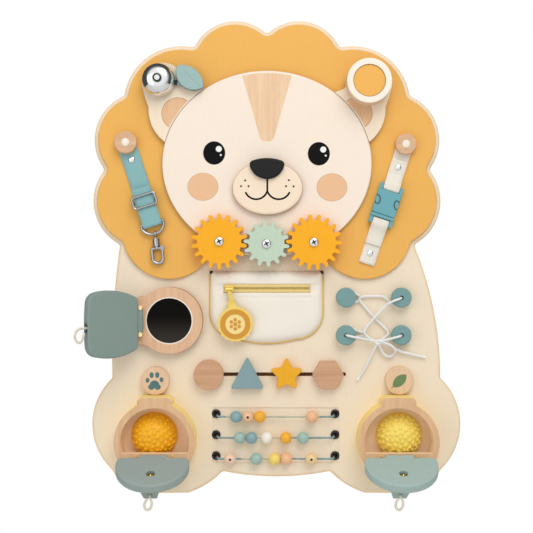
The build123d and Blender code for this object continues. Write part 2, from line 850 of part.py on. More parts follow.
with BuildPart() as nose:
    with BuildSketch(front(MUZZLE_FRONT)) as nose_sketch:
        with BuildLine():
            nose_left, nose_right = (-NOSE_HALF, NOSE_SIDE_Z), (NOSE_HALF, NOSE_SIDE_Z)
            ThreePointArc(nose_left, (0, NOSE_TOP_Z), nose_right)
            ThreePointArc(nose_right, (0, NOSE_LOW_Z), nose_left)
        make_face()
        fillet(nose_sketch.vertices(), radius=NOSE_ROUND)
    extrude(amount=NOSE_T)
    fillet(nose.faces().filter_by(Axis.Y).sort_by(Axis.Y)[0].edges(), radius=NOSE_EDGE)

save(main_board.part, "main_board")
save(back_panel.part, "back_panel")
save(mane_panel.part, "mane_panel")
save(face_panel.part, "face_panel")
save(ears_and_muzzle.part, "ears_and_muzzle")
save(beech_inlays.part, "beech_inlays")
save(nose.part, "nose")

# ---- Bell with its leaf lever -------------------------------------------

dome_rim = FACE_FRONT + BELL_LIFT
dome_top = dome_rim + BELL_H
leaf_back = FACE_FRONT + BELL_FOOT_T + GAP
arm_front = leaf_back + LEVER_ARM_T
pin_end = leaf_back + LEAF_T - LEAF_SKIN - GAP

with BuildPart() as bell_post:
    with BuildSketch(front(FACE_FRONT, BELL_AT)):
        Circle(BELL_FOOT_R)
    extrude(amount=BELL_FOOT_T)
    with BuildSketch(front(FACE_FRONT, BELL_AT)):
        Circle(BELL_POST_R)
    extrude(amount=dome_top - BELL_WALL - FACE_FRONT)
    with BuildSketch(front(dome_top - BELL_WALL, BELL_AT)):
        Circle(BELL_POST_R / 2)
    extrude(amount=BELL_WALL)
    with BuildSketch(front(dome_top, BELL_AT)):
        Circle(BELL_NUT_R)
    extrude(amount=BELL_NUT_T)
    fillet(bell_post.faces().sort_by(Axis.Y)[0].edges(), radius=BELL_NUT_T / 3)
    # pivot pin of the lever
    with BuildSketch(front(FACE_FRONT, LEVER_PIN_AT)):
        Circle(LEVER_PIN_R)
    extrude(amount=pin_end - FACE_FRONT)

with BuildPart() as bell_dome:
    with BuildSketch(front(dome_rim, BELL_AT)):
        Circle(BELL_R)
    extrude(amount=BELL_H)
    fillet(bell_dome.faces().sort_by(Axis.Y)[0].edges(), radius=0.86 * BELL_H)
    offset(amount=-BELL_WALL, openings=bell_dome.faces().sort_by(Axis.Y)[-1])
    with BuildSketch(front(dome_rim, BELL_AT)):
        Circle(BELL_POST_R / 2)
    extrude(amount=2 * BELL_H, mode=Mode.SUBTRACT)

striker_turn = atan2(LEVER_PIN_AT[1] - BELL_AT[1], LEVER_PIN_AT[0] - BELL_AT[0])
striker_at = (
    BELL_AT[0] + STRIKER_OUT * cos(striker_turn),
    BELL_AT[1] + STRIKER_OUT * sin(striker_turn),
)
leaf_middle = ((LEAF_TIP[0] + LEAF_STEM[0]) / 2, (LEAF_TIP[1] + LEAF_STEM[1]) / 2)
leaf_turn = degrees(atan2(LEAF_TIP[1] - LEAF_STEM[1], LEAF_TIP[0] - LEAF_STEM[0]))
leaf_half = hypot(LEAF_TIP[0] - LEAF_STEM[0], LEAF_TIP[1] - LEAF_STEM[1]) / 2

with BuildPart() as bell_lever:
    with BuildSketch(front(leaf_back, leaf_middle, leaf_turn)):
        with BuildLine():
            ThreePointArc((-leaf_half, 0), (0, LEAF_INNER_BELLY), (leaf_half, 0))
            ThreePointArc((leaf_half, 0), (0, -LEAF_OUTER_BELLY), (-leaf_half, 0))
        make_face()
    extrude(amount=LEAF_T)
    fillet(bell_lever.faces().sort_by(Axis.Y)[0].edges(), radius=LEAF_T / 6)
    arm_length = hypot(LEVER_PIN_AT[0] - striker_at[0], LEVER_PIN_AT[1] - striker_at[1])
    arm_middle = (
        (LEVER_PIN_AT[0] + striker_at[0]) / 2,
        (LEVER_PIN_AT[1] + striker_at[1]) / 2,
    )
    arm_plane = front(arm_front - LEVER_ARM_T, arm_middle, degrees(striker_turn))
    with BuildSketch(arm_plane):
        SlotCenterToCenter(arm_length, LEVER_ARM_W)
    extrude(amount=LEVER_ARM_T)
    with BuildSketch(front(arm_front - LEVER_ARM_T, striker_at)):
        Circle(STRIKER_R)
    extrude(amount=LEVER_ARM_T + STRIKER_H)
    with BuildSketch(front(FACE_FRONT, LEVER_PIN_AT)):
        Circle(LEVER_PIN_R + FIT)
    extrude(amount=pin_end + GAP - FACE_FRONT, mode=Mode.SUBTRACT)

save(bell_post.part, "bell_post")
save(bell_dome.part, "bell_dome")
save(bell_lever.part, "bell_lever")

# ---- Turning knob -------------------------------------------------------

dial_back = FACE_FRONT + KNOB_BASE_T + GAP

with BuildPart() as knob_base:
    with BuildSketch(front(FACE_FRONT, KNOB_AT)):
        Circle(KNOB_R)
    extrude(amount=KNOB_BASE_T)
    fillet(knob_base.faces().sort_by(Axis.Y)[0].edges(), radius=KNOB_EDGE / 2)
    with BuildSketch(front(FACE_FRONT + KNOB_BASE_T, KNOB_AT)):
        Circle(KNOB_PIN_R)
    extrude(amount=KNOB_PIN_H)

with BuildPart() as knob_dial:
    with BuildSketch(front(dial_back, KNOB_AT)):
        Circle(KNOB_R)
    extrude(amount=KNOB_DIAL_T)
    fillet(knob_dial.faces().sort_by(Axis.Y)[0].edges(), radius=KNOB_EDGE)
    with BuildSketch(front(dial_back + KNOB_DIAL_T - KNOB_INLAY_D, KNOB_AT)):
        Circle(KNOB_INLAY_R)
    extrude(amount=KNOB_INLAY_D, mode=Mode.SUBTRACT)
    with BuildSketch(front(dial_back, KNOB_AT)):
        Circle(KNOB_PIN_R + FIT)
    extrude(amount=KNOB_PIN_H, mode=Mode.SUBTRACT)

save(knob_base.part, "knob_base")
save(knob_dial.part, "knob_dial")

# ---- Straps -------------------------------------------------------------

button_back = WEB_MIDDLE + WEB_T / 2

with BuildPart() as strap_buttons:
    for at, radius in ((LEFT_STRAP_AT, LEFT_BUTTON_R), (RIGHT_STRAP_AT, RIGHT_BUTTON_R)):
        with BuildSketch(front(button_back, at)):
            Circle(radius)
        extrude(amount=BUTTON_T)
        with BuildSketch(front(MANE_FRONT, at)):
            Circle(BUTTON_STEM_R)
        extrude(amount=button_back - MANE_FRONT)
    fronts = strap_buttons.faces().filter_by(Axis.Y).group_by(Axis.Y)[0]
    fillet(fronts.edges(), radius=BUTTON_EDGE)


def band_profile(start_s, fold_s, flap_end_s):
    """A band along the board, folded round a bar, with its flap lying on it again."""
    away = 1 if flap_end_s > fold_s else -1
    Line((start_s, WEB_MIDDLE), (fold_s, WEB_MIDDLE))
    ThreePointArc(
        (fold_s, WEB_MIDDLE),
        (fold_s - away * WEB_LOOP_R, FOLD_HEIGHT),
        (fold_s, FLAP_MIDDLE),
    )
    FilletPolyline(
        (fold_s, FLAP_MIDDLE),
        (fold_s + away * FLAP_RUN / 4, FLAP_MIDDLE),
        (fold_s + away * FLAP_RUN * 5 / 4, WEB_MIDDLE + WEB_T + FLAP_SEAM),
        (flap_end_s, WEB_MIDDLE + WEB_T + FLAP_SEAM),
        radius=FLAP_BEND,
    )


with BuildPart() as strap_left:
    with BuildSketch(side(LEFT_STRAP_AT, STRAP_TILT)):
        with BuildLine():
            Line((-LEFT_WEB_HEAD, WEB_MIDDLE), (LEFT_FOLD_S, WEB_MIDDLE))
            ThreePointArc(
                (LEFT_FOLD_S, WEB_MIDDLE),
                (LEFT_FOLD_S + WEB_LOOP_R, FOLD_HEIGHT),
                (LEFT_FOLD_S, FLAP_MIDDLE),
            )
            Line((LEFT_FOLD_S, FLAP_MIDDLE), (LEFT_FLAP_S, FLAP_MIDDLE))
        trace(line_width=WEB_T)
    extrude(amount=LEFT_WEB_W / 2, both=True)
    with BuildSketch(front(MANE_FRONT, LEFT_STRAP_AT)):
        Circle(BUTTON_STEM_R + FIT)
    extrude(amount=BUTTON_T, mode=Mode.SUBTRACT)

with BuildPart() as strap_right:
    with BuildSketch(side(RIGHT_STRAP_AT, -STRAP_TILT)):
        with BuildLine():
            band_profile(-LEFT_WEB_HEAD, RIGHT_FOLD_S, RIGHT_FLAP_S)
        trace(line_width=WEB_T)
    extrude(amount=RIGHT_WEB_W / 2, both=True)
    with BuildSketch(front(MANE_FRONT, RIGHT_STRAP_AT)):
        Circle(BUTTON_STEM_R + FIT)
    extrude(amount=BUTTON_T, mode=Mode.SUBTRACT)

with BuildPart() as strap_right_tail:
    with BuildSketch(side(RIGHT_STRAP_AT, -STRAP_TILT)):
        with BuildLine():
            band_profile(RIGHT_TAIL_S, PLUG_BAR_S, RIGHT_TAIL_FLAP_S)
        trace(line_width=WEB_T)
    extrude(amount=RIGHT_WEB_W / 2, both=True)

glide_at = along(LEFT_STRAP_AT, STRAP_TILT, GLIDE_S)
glide_height = FLAP_MIDDLE + WEB_T / 2 + GAP + GLIDE_WIRE
glide_side = LEFT_WEB_W / 2 + GLIDE_SIDE

with BuildPart() as tri_glide:
    across = front(glide_height, glide_at, STRAP_TILT)
    with BuildLine(across):
        frame = FilletPolyline(
            (glide_side, GLIDE_HALF),
            (glide_side, -GLIDE_HALF),
            (-glide_side, -GLIDE_HALF),
            (-glide_side, GLIDE_HALF),
            close=True,
            radius=2 * GLIDE_WIRE,
        )
    wire_sweep(frame, GLIDE_WIRE)
    # middle bar, stepped down behind the webbing's flap
    bar_plane = Plane(origin=across.origin, x_dir=across.x_dir, z_dir=-across.y_dir)
    bar_low = glide_height - FOLD_HEIGHT
    with BuildLine(bar_plane):
        bar = FilletPolyline(
            (-glide_side, 0),
            (-glide_side, -bar_low),
            (glide_side, -bar_low),
            (glide_side, 0),
            radius=1.5 * GLIDE_WIRE,
        )
    wire_sweep(bar, GLIDE_BAR_R)

d_at = along(LEFT_STRAP_AT, STRAP_TILT, LEFT_FOLD_S)
snap_at = along(LEFT_STRAP_AT, STRAP_TILT, LEFT_FOLD_S + D_DEPTH)
hook_plane = front(FOLD_HEIGHT, snap_at, SNAP_TILT)
stud_plane = Plane(origin=hook_plane.origin, x_dir=hook_plane.x_dir, z_dir=-hook_plane.y_dir)
stud_top = SNAP_BARREL_TOP + SNAP_WIRE + GAP

with BuildPart() as d_ring:
    with BuildLine(front(FOLD_HEIGHT, d_at, STRAP_TILT)) as d_line:
        Polyline((0, 0), (D_HALF, 0), (D_HALF, -D_LEG))
        ThreePointArc((D_HALF, -D_LEG), (0, -D_DEPTH), (-D_HALF, -D_LEG))
        Polyline((-D_HALF, -D_LEG), (-D_HALF, 0), (0, 0))
    with BuildSketch(Plane(origin=d_line.line @ 0, z_dir=d_line.line % 0)):
        Circle(D_WIRE)
    sweep(path=d_line.line, transition=Transition.ROUND)
    # swivel eye round the ring, with the stud that the hook turns on
    with Locations(Plane(origin=hook_plane.origin, x_dir=hook_plane.y_dir, z_dir=hook_plane.x_dir)):
        Torus(EYE_R, EYE_WIRE)
    with BuildSketch(stud_plane.offset(EYE_R)):
        Circle(SNAP_NECK_R)
    extrude(amount=stud_top + SNAP_STUD_T - EYE_R)
    with BuildSketch(stud_plane.offset(stud_top)):
        Circle(SNAP_STUD_R)
    extrude(amount=SNAP_STUD_T)

with BuildPart() as snap_body:
    with BuildSketch(stud_plane.offset(SNAP_BARREL_TOP)):
        Circle(SNAP_BARREL_R)
    extrude(amount=SNAP_BARREL_H)
    with BuildLine(hook_plane):
        hook = FilletPolyline(
            (SNAP_HALF, -SNAP_YOKE),
            (-SNAP_HALF, -SNAP_YOKE),
            (-SNAP_HALF, SNAP_WIRE - SNAP_LOW),
            (SNAP_HALF, SNAP_WIRE - SNAP_LOW),
            (SNAP_HALF, -SNAP_MOUTH),
            radius=[SNAP_WIRE, 0.96 * SNAP_HALF, 0.96 * SNAP_HALF],
        )
    wire_sweep(hook, SNAP_WIRE)
    with BuildSketch(stud_plane.offset(SNAP_BARREL_TOP + SNAP_BARREL_H)):
        Circle(SNAP_WIRE)
    extrude(amount=SNAP_YOKE - SNAP_BARREL_TOP - SNAP_BARREL_H)
    with BuildSketch(stud_plane.offset(SNAP_BARREL_TOP)):
        Circle(SNAP_NECK_R + FIT)
    extrude(amount=SNAP_WIRE + GAP, mode=Mode.SUBTRACT)
    with BuildSketch(stud_plane.offset(SNAP_BARREL_TOP + SNAP_WIRE)):
        Circle(SNAP_STUD_R + FIT)
    extrude(amount=SNAP_STUD_T + 2 * GAP, mode=Mode.SUBTRACT)
    # fork and pin of the gate
    with BuildSketch(hook_plane.offset(-FORK_HALF)):
        with Locations((SNAP_HALF, -SNAP_YOKE)):
            Circle(FORK_R)
    extrude(amount=2 * FORK_HALF)
    with BuildSketch(hook_plane.offset(-GATE_TONGUE_T / 2 - POST_GAP / 2)):
        with Locations((SNAP_HALF, -SNAP_YOKE)):
            Rectangle(2 * FORK_R, 2 * FORK_R)
    extrude(amount=GATE_TONGUE_T + POST_GAP, mode=Mode.SUBTRACT)
    with BuildSketch(hook_plane.offset(-FORK_HALF)):
        with Locations((SNAP_HALF, -SNAP_YOKE)):
            Circle(GATE_PIN_R)
    extrude(amount=2 * FORK_HALF)

with BuildPart() as snap_gate:
    gate_top = SNAP_YOKE + FORK_R + 3 * GAP
    with BuildSketch(stud_plane.offset(gate_top)):
        with Locations((SNAP_HALF, 0)):
            Circle(GATE_R)
    extrude(amount=SNAP_MOUTH - GAP - gate_top)
    with BuildSketch(hook_plane.offset(-GATE_TONGUE_T / 2)):
        with Locations((SNAP_HALF, -(SNAP_YOKE + gate_top + GATE_R) / 2)):
            Rectangle(GATE_TONGUE_W, gate_top + GATE_R - SNAP_YOKE)
        with Locations((SNAP_HALF, -SNAP_YOKE)):
            Circle(GATE_EYE_R)
            Circle(GATE_PIN_R + FIT, mode=Mode.SUBTRACT)
    extrude(amount=GATE_TONGUE_T)

buckle_plane = front(FOLD_HEIGHT, RIGHT_STRAP_AT, -STRAP_TILT)
ear_inner = RIGHT_WEB_W / 2 + GAP
cavity_half = BUCKLE_W / 2 - SOCKET_WALL
cavity_t = BUCKLE_T - 2 * SOCKET_WALL
plug_top_s = SOCKET_END_S + GAP
prong_outer = cavity_half - GAP


def slab(s_range, x_range, thickness, mode=Mode.ADD):
    """A block of the buckle, by its reach down the strap and across it."""
    with BuildSketch(buckle_plane) as block:
        with Locations((sum(x_range) / 2, -sum(s_range) / 2)):
            Rectangle(x_range[1] - x_range[0], s_range[1] - s_range[0])
    extrude(to_extrude=block.sketch, amount=thickness / 2, both=True, mode=mode)


def band_bar(bar_s, s_range):
    """The bar that a band is folded round, between two ears."""
    slab(s_range, (ear_inner, BUCKLE_W / 2), EAR_T)
    slab(s_range, (-BUCKLE_W / 2, -ear_inner), EAR_T)
    with BuildSketch(side(RIGHT_STRAP_AT, -STRAP_TILT)) as section:
        with Locations((bar_s, FOLD_HEIGHT)):
            Circle(BUCKLE_BAR_R)
    extrude(to_extrude=section.sketch, amount=ear_inner, both=True)


with BuildPart() as buckle_female:
    slab((SOCKET_TOP_S, SOCKET_END_S), (-BUCKLE_W / 2, BUCKLE_W / 2), BUCKLE_T)
    fillet(buckle_female.edges().filter_by(Axis.Y), radius=BUCKLE_ROUND)
    fillet(front_edges(buckle_female), radius=BUCKLE_EDGE)
    slab((SOCKET_END_S - SOCKET_DEPTH, SOCKET_END_S), (-cavity_half, cavity_half), cavity_t,
         Mode.SUBTRACT)
    window_s = SOCKET_END_S - SOCKET_DEPTH + SOCKET_WALL
    slab((window_s, window_s + BUCKLE_WINDOW), (-BUCKLE_W, BUCKLE_W), cavity_t, Mode.SUBTRACT)
    band_bar(RIGHT_FOLD_S, (RIGHT_FOLD_S - 2 * BUCKLE_BAR_R, SOCKET_TOP_S + SOCKET_WALL))

with BuildPart() as buckle_male:
    slab((plug_top_s, plug_top_s + PLUG_BASE_L), (-BUCKLE_W / 2, BUCKLE_W / 2), BUCKLE_T)
    fillet(front_edges(buckle_male), radius=BUCKLE_EDGE)
    slab((plug_top_s - PRONG_L, plug_top_s), (prong_outer - PRONG_W, prong_outer), PRONG_T)
    slab((plug_top_s - PRONG_L, plug_top_s), (-prong_outer, PRONG_W - prong_outer), PRONG_T)
    slab((plug_top_s - PRONG_L, plug_top_s), (-TONGUE_W / 2, TONGUE_W / 2), TONGUE_T)
    tips = buckle_male.edges().filter_by(Axis.Y).group_by(Axis.Z)[-3:]
    fillet([edge for group in tips for edge in group], radius=TONGUE_W / 4)
    plug_end_s = plug_top_s + PLUG_BASE_L
    band_bar(PLUG_BAR_S, (plug_end_s, PLUG_BAR_S + 2 * BUCKLE_BAR_R))

save(strap_buttons.part, "strap_buttons")
save(strap_left.part, "strap_left")
save(strap_right.part, "strap_right")
save(strap_right_tail.part, "strap_right_tail")
save(tri_glide.part, "tri_glide")
save(d_ring.part, "d_ring")
save(snap_body.part, "snap_body")
save(snap_gate.part, "snap_gate")
save(buckle_female.part, "buckle_female")
save(buckle_male.part, "buckle_male")

# ---- Gears --------------------------------------------------------------


def tooth_face(root_r, tip_r):
    """One finger of a gear, along local x, with a round tip."""
    cap = tip_r - TOOTH_W / 2
    foot = root_r - TOOTH_W / 2
    with BuildSketch() as sketch:
        with BuildLine():
            Polyline(
                (cap, TOOTH_W / 2),
                (foot, TOOTH_ROOT_W / 2),
                (foot, -TOOTH_ROOT_W / 2),
                (cap, -TOOTH_W / 2),
            )
            ThreePointArc((cap, -TOOTH_W / 2), (tip_r, 0), (cap, TOOTH_W / 2))
        make_face()
    return sketch.sketch


def gear(name, at, teeth, root_r, tip_r, phase):
    """A flat gear with finger teeth, turned to its phase in degrees."""
    with BuildPart() as wheel:
        with BuildSketch(front(GEAR_BACK, at)) as outline:
            Circle(root_r)
            with PolarLocations(0, teeth, start_angle=phase):
                add(tooth_face(root_r, tip_r))
            roots = [v for v in outline.vertices() if hypot(v.X, v.Y) < root_r + TOOTH_FILLET]
            fillet(roots, radius=TOOTH_FILLET)
            Circle(GEAR_SCREW_R + FIT, mode=Mode.SUBTRACT)
        extrude(amount=GEAR_T)
    save(wheel.part, name)


def mesh_phase(at, teeth):
    """The phase that puts a gap of a big gear on a tooth of the middle gear."""
    toward = degrees(atan2(at[1] - MIDDLE_GEAR_AT[1], at[0] - MIDDLE_GEAR_AT[0]))
    lead = (toward - MIDDLE_PHASE) % (360 / SMALL_TEETH)
    return toward + 180 + lead * SMALL_TEETH / teeth + 180 / teeth


gear("gear_middle", MIDDLE_GEAR_AT, SMALL_TEETH, SMALL_ROOT_R, SMALL_TIP_R, MIDDLE_PHASE)
gear("gear_left", left_gear_at, BIG_TEETH, BIG_ROOT_R, BIG_TIP_R, mesh_phase(left_gear_at, BIG_TEETH))
gear("gear_right", right_gear_at, BIG_TEETH, BIG_ROOT_R, BIG_TIP_R,
     mesh_phase(right_gear_at, BIG_TEETH))

with BuildPart() as gear_screws:
    gear_top = GEAR_BACK + GEAR_T
    with BuildSketch(front(FACE_FRONT - SCREW_DEPTH)):
        with Locations(*gear_places):
            Circle(GEAR_SCREW_R)
    extrude(amount=gear_top + GAP - FACE_FRONT + SCREW_DEPTH)
    with BuildSketch(front(FACE_FRONT)):
        with Locations(*gear_places):
            Circle(GEAR_WASHER_R)
    extrude(amount=GEAR_BUSH)
    with BuildSketch(front(gear_top + GAP)):
        with Locations(*gear_places):
            Circle(GEAR_HEAD_R)
    extrude(amount=GEAR_HEAD_T)
    fillet(gear_screws.faces().group_by(Axis.Y)[0].edges(), radius=GEAR_HEAD_T / 2)

save(gear_screws.part, "gear_screws")

# ---- Zip pocket ---------------------------------------------------------

zip_middle = ((ZIP_LEFT + ZIP_RIGHT) / 2, ZIP_Z)
slider_back = POCKET_FRONT + GAP
pin_height = slider_back + SLIDER_T + PULL_PIN_LIFT
pin_at = (SLIDER_X, -pin_height, ZIP_Z - PULL_DROP)
pin_plane = Plane(origin=pin_at, x_dir=(0, -1, 0), z_dir=(1, 0, 0))
lean, droop = radians(PULL_LEAN), radians(PULL_DROOP)
pull_plane = Plane(
    origin=pin_at,
    x_dir=(sin(lean) * cos(droop), sin(droop), -cos(lean) * cos(droop)),
    z_dir=(sin(lean) * sin(droop), -cos(droop), -cos(lean) * sin(droop)),
)

with BuildPart() as pocket:
    with BuildSketch(front(BOARD_FRONT)) as bag:
        with BuildLine():
            Polyline(
                (POCKET_LEFT, POCKET_LOW),
                (POCKET_LEFT, POCKET_TOP),
                (POCKET_RIGHT, POCKET_TOP),
                (POCKET_RIGHT, POCKET_LOW),
            )
            bulge = ((POCKET_LEFT + POCKET_RIGHT) / 2, POCKET_BULGE)
            ThreePointArc((POCKET_RIGHT, POCKET_LOW), bulge, (POCKET_LEFT, POCKET_LOW))
        make_face()
        fillet(bag.vertices().group_by(Axis.Y)[0], radius=POCKET_ROUND)
        fillet(bag.vertices().group_by(Axis.Y)[-1], radius=POCKET_TOP_ROUND)
    extrude(amount=POCKET_T)
    fillet(front_edges(pocket), radius=POCKET_EDGE)
    with BuildSketch(front(POCKET_FRONT - ZIP_GROOVE_D, zip_middle)):
        SlotOverall(ZIP_RIGHT - ZIP_LEFT, ZIP_GROOVE_W)
    extrude(amount=ZIP_GROOVE_D, mode=Mode.SUBTRACT)

with BuildPart() as zip_slider:
    with BuildSketch(front(slider_back, (SLIDER_X, ZIP_Z))) as base:
        Rectangle(SLIDER_L, SLIDER_W)
        fillet(base.vertices(), radius=SLIDER_NOSE)
    extrude(amount=SLIDER_T)
    with BuildSketch(front(POCKET_FRONT - ZIP_GROOVE_D + GAP, (SLIDER_X, ZIP_Z))):
        Rectangle(SLIDER_L - 2 * SLIDER_NOSE, KEEL_W)
    extrude(amount=ZIP_GROOVE_D)
    for start in (LUG_GAP / 2, -LUG_GAP / 2 - LUG_T):
        with BuildSketch(pin_plane.offset(start)):
            Circle(LUG_R)
            with Locations((-PULL_PIN_LIFT / 2, 0)):
                Rectangle(PULL_PIN_LIFT, 2 * LUG_R)
        extrude(amount=LUG_T)
    with BuildSketch(pin_plane.offset(-LUG_GAP / 2)):
        Circle(PULL_PIN_R)
    extrude(amount=LUG_GAP)

with BuildPart() as zip_pull:
    neck_w = LUG_GAP - 2 * GAP
    neck_l = LUG_R + 2 * GAP + PULL_W / 2 * sin(lean)
    with BuildSketch(pin_plane.offset(-neck_w / 2)):
        Circle(LUG_R)
    extrude(amount=neck_w)
    with BuildSketch(pull_plane.offset(-PULL_T / 2)) as pull:
        with Locations((LUG_R, 0)):
            Rectangle(2 * LUG_R, neck_w - GAP)
        with Locations((neck_l + PULL_L / 2, 0)):
            Rectangle(PULL_L, PULL_W)
        fillet(pull.vertices().group_by(Axis.X)[-1], radius=PULL_W / 2.5)
    extrude(amount=PULL_T)
    with BuildSketch(pin_plane.offset(-LUG_GAP / 2)):
        Circle(PULL_PIN_R + FIT)
    extrude(amount=LUG_GAP, mode=Mode.SUBTRACT)

with BuildPart() as zip_tag:
    with BuildSketch(pull_plane.offset(PULL_T / 2)):
        with Locations((TAG_OUT, 0)):
            Circle(TAG_R - TAG_LOBE_R / 2)
            with PolarLocations(TAG_R - TAG_LOBE_R, TAG_LOBES):
                Circle(TAG_LOBE_R)
        with Locations((TAG_OUT - TAG_R - TAG_NECK_L / 4, 0)):
            Rectangle(TAG_NECK_L, TAG_NECK_W)
    extrude(amount=TAG_T)

save(pocket.part, "pocket")
save(zip_slider.part, "zip_slider")
save(Compound(children=[zip_pull.part, zip_tag.part]), "zip_pull")

# ---- Mirror and the three hinged doors ----------------------------------

mirror_turn = radians(MIRROR_DOOR_OPEN)
mirror_axis = (HINGE_X, -(MIRROR_FRONT + HINGE_LIFT), MIRROR_AT[1])
mirror_swing = Plane(
    origin=mirror_axis,
    x_dir=(cos(mirror_turn), -sin(mirror_turn), 0),
    z_dir=(-sin(mirror_turn), -cos(mirror_turn), 0),
)
plate_back = DOOR_GAP - HINGE_LIFT  # of a door, from its hinge's axis
plate_front = plate_back + DOOR_T


def paw_swing(paw_at):
    """The frame of an opened paw door: local x out along the door, z through it."""
    turn = radians(PAW_DOOR_OPEN)
    return Plane(
        origin=(paw_at[0], -(PAW_FRONT + HINGE_LIFT), paw_at[1] - PAW_HINGE_DROP),
        x_dir=(0, -sin(turn), cos(turn)),
        z_dir=(0, -cos(turn), -sin(turn)),
    )


def knuckle(swing, length):
    """The barrel of a door round its rod, with the web that joins it to the plate."""
    ends = Plane(origin=swing.origin, x_dir=swing.x_dir, z_dir=swing.y_dir)
    with BuildSketch(ends) as section:
        Circle(KNUCKLE_R)
        with Locations((KNUCKLE_REACH / 2, 0)):
            Rectangle(KNUCKLE_REACH, 2 * KNUCKLE_WEB)
    extrude(to_extrude=section.sketch, amount=length / 2, both=True)
    with BuildSketch(ends) as bore:
        Circle(HINGE_ROD_R + FIT)
    extrude(to_extrude=bore.sketch, amount=length, both=True, mode=Mode.SUBTRACT)


with BuildPart() as mirror_surround:
    with BuildSketch(front(BOARD_FRONT, MIRROR_AT)) as ring:
        tab_l = MIRROR_AT[0] - MIRROR_TAB_X
        Circle(MIRROR_FRAME_R)
        with Locations((-tab_l / 2, 0)):
            Rectangle(tab_l, 2 * MIRROR_TAB_HALF)
        joint_x = -((MIRROR_FRAME_R**2 - MIRROR_TAB_HALF**2) ** 0.5)
        waist = [(joint_x, MIRROR_TAB_HALF), (joint_x, -MIRROR_TAB_HALF)]
        fillet(corners_at(ring.vertices(), waist), radius=MIRROR_TAB_BLEND)
        ends = [(-tab_l, MIRROR_TAB_HALF), (-tab_l, -MIRROR_TAB_HALF)]
        fillet(corners_at(ring.vertices(), ends), radius=MIRROR_TAB_ROUND)
    extrude(amount=MIRROR_FRAME_T)
    fillet(front_edges(mirror_surround), radius=FRAME_EDGE)
    with BuildSketch(front(MIRROR_FRONT - MIRROR_SINK, MIRROR_AT)):
        Circle(MIRROR_R + FIT)
    extrude(amount=MIRROR_SINK, mode=Mode.SUBTRACT)

with BuildPart() as mirror_glass:
    with BuildSketch(front(MIRROR_FRONT - MIRROR_SINK, MIRROR_AT)):
        Circle(MIRROR_R)
    extrude(amount=MIRROR_T)

with BuildPart() as mirror_door:
    with BuildSketch(mirror_swing.offset(plate_back) * Pos(0, -MIRROR_DOOR_DROP, 0)) as plate:
        with BuildLine():
            crest_x, crest_y = MIRROR_DOOR_CREST
            free_x = MIRROR_DOOR_W - MIRROR_DOOR_BULGE
            hinge_top = (HINGE_EDGE, MIRROR_DOOR_SIDE)
            hinge_low = (HINGE_EDGE, -MIRROR_DOOR_SIDE)
            free_top = (free_x, MIRROR_DOOR_FREE)
            free_low = (free_x, -MIRROR_DOOR_FREE)
            ThreePointArc(hinge_top, (crest_x, crest_y), free_top)
            ThreePointArc(free_top, (MIRROR_DOOR_W, 0), free_low)
            ThreePointArc(free_low, (crest_x, -crest_y), hinge_low)
            Line(hinge_low, hinge_top)
        make_face()
        fillet(corners_at(plate.vertices(), [free_top, free_low]), radius=MIRROR_DOOR_ROUND)
        fillet(corners_at(plate.vertices(), [hinge_top, hinge_low]),
               radius=MIRROR_DOOR_HINGE_ROUND)
    extrude(amount=DOOR_T)
    broad = mirror_door.faces().sort_by(SortBy.AREA)[-2:]
    rims = [face.outer_wire().edges() for face in broad]
    fillet([edge for rim in rims for edge in rim], radius=DOOR_EDGE)
    slot_plane = Plane(
        origin=place_in(mirror_swing, MIRROR_DOOR_W, -ROPE_SLOT_DROP, 0),
        x_dir=mirror_swing.y_dir,
        z_dir=mirror_swing.x_dir,
    )
    with BuildSketch(slot_plane):
        SlotOverall(ROPE_SLOT_L, ROPE_SLOT_W)
    extrude(amount=-ROPE_SLOT_D, mode=Mode.SUBTRACT)
    knuckle(mirror_swing, MIRROR_KNUCKLE_L)

save(mirror_surround.part, "mirror_surround")
save(mirror_glass.part, "mirror_glass")
save(mirror_door.part, "mirror_door")


def paw_box(name, paw_at):
    """A round box with a crown, a cavity down to the board and a sill across its mouth."""
    crown_half = PAW_CROWN_W / 2
    joint_y = (PAW_R**2 - crown_half**2) ** 0.5
    with BuildPart() as box:
        with BuildSketch(front(BOARD_FRONT, paw_at)) as outline:
            Circle(PAW_R)
            with Locations((0, PAW_CROWN_TOP / 2)):
                Rectangle(PAW_CROWN_W, PAW_CROWN_TOP)
            tops = [(-crown_half, PAW_CROWN_TOP), (crown_half, PAW_CROWN_TOP)]
            fillet(corners_at(outline.vertices(), tops), radius=PAW_CROWN_ROUND)
            joints = [(-crown_half, joint_y), (crown_half, joint_y)]
            fillet(corners_at(outline.vertices(), joints), radius=PAW_CROWN_BLEND)
        extrude(amount=PAW_T)
        fillet(front_edges(box), radius=FRAME_EDGE)
        with BuildSketch(front(BOARD_FRONT, paw_at)):
            Circle(PAW_OPEN_R)
        extrude(amount=PAW_T - PAW_SILL_T, mode=Mode.SUBTRACT)
        with BuildSketch(front(PAW_FRONT - PAW_SILL_T, paw_at)):
            Circle(PAW_OPEN_R)
            with Locations((0, -PAW_SILL - PAW_R / 2)):
                Rectangle(2 * PAW_R, PAW_R, mode=Mode.SUBTRACT)
        extrude(amount=PAW_SILL_T, mode=Mode.SUBTRACT)
    save(box.part, name)


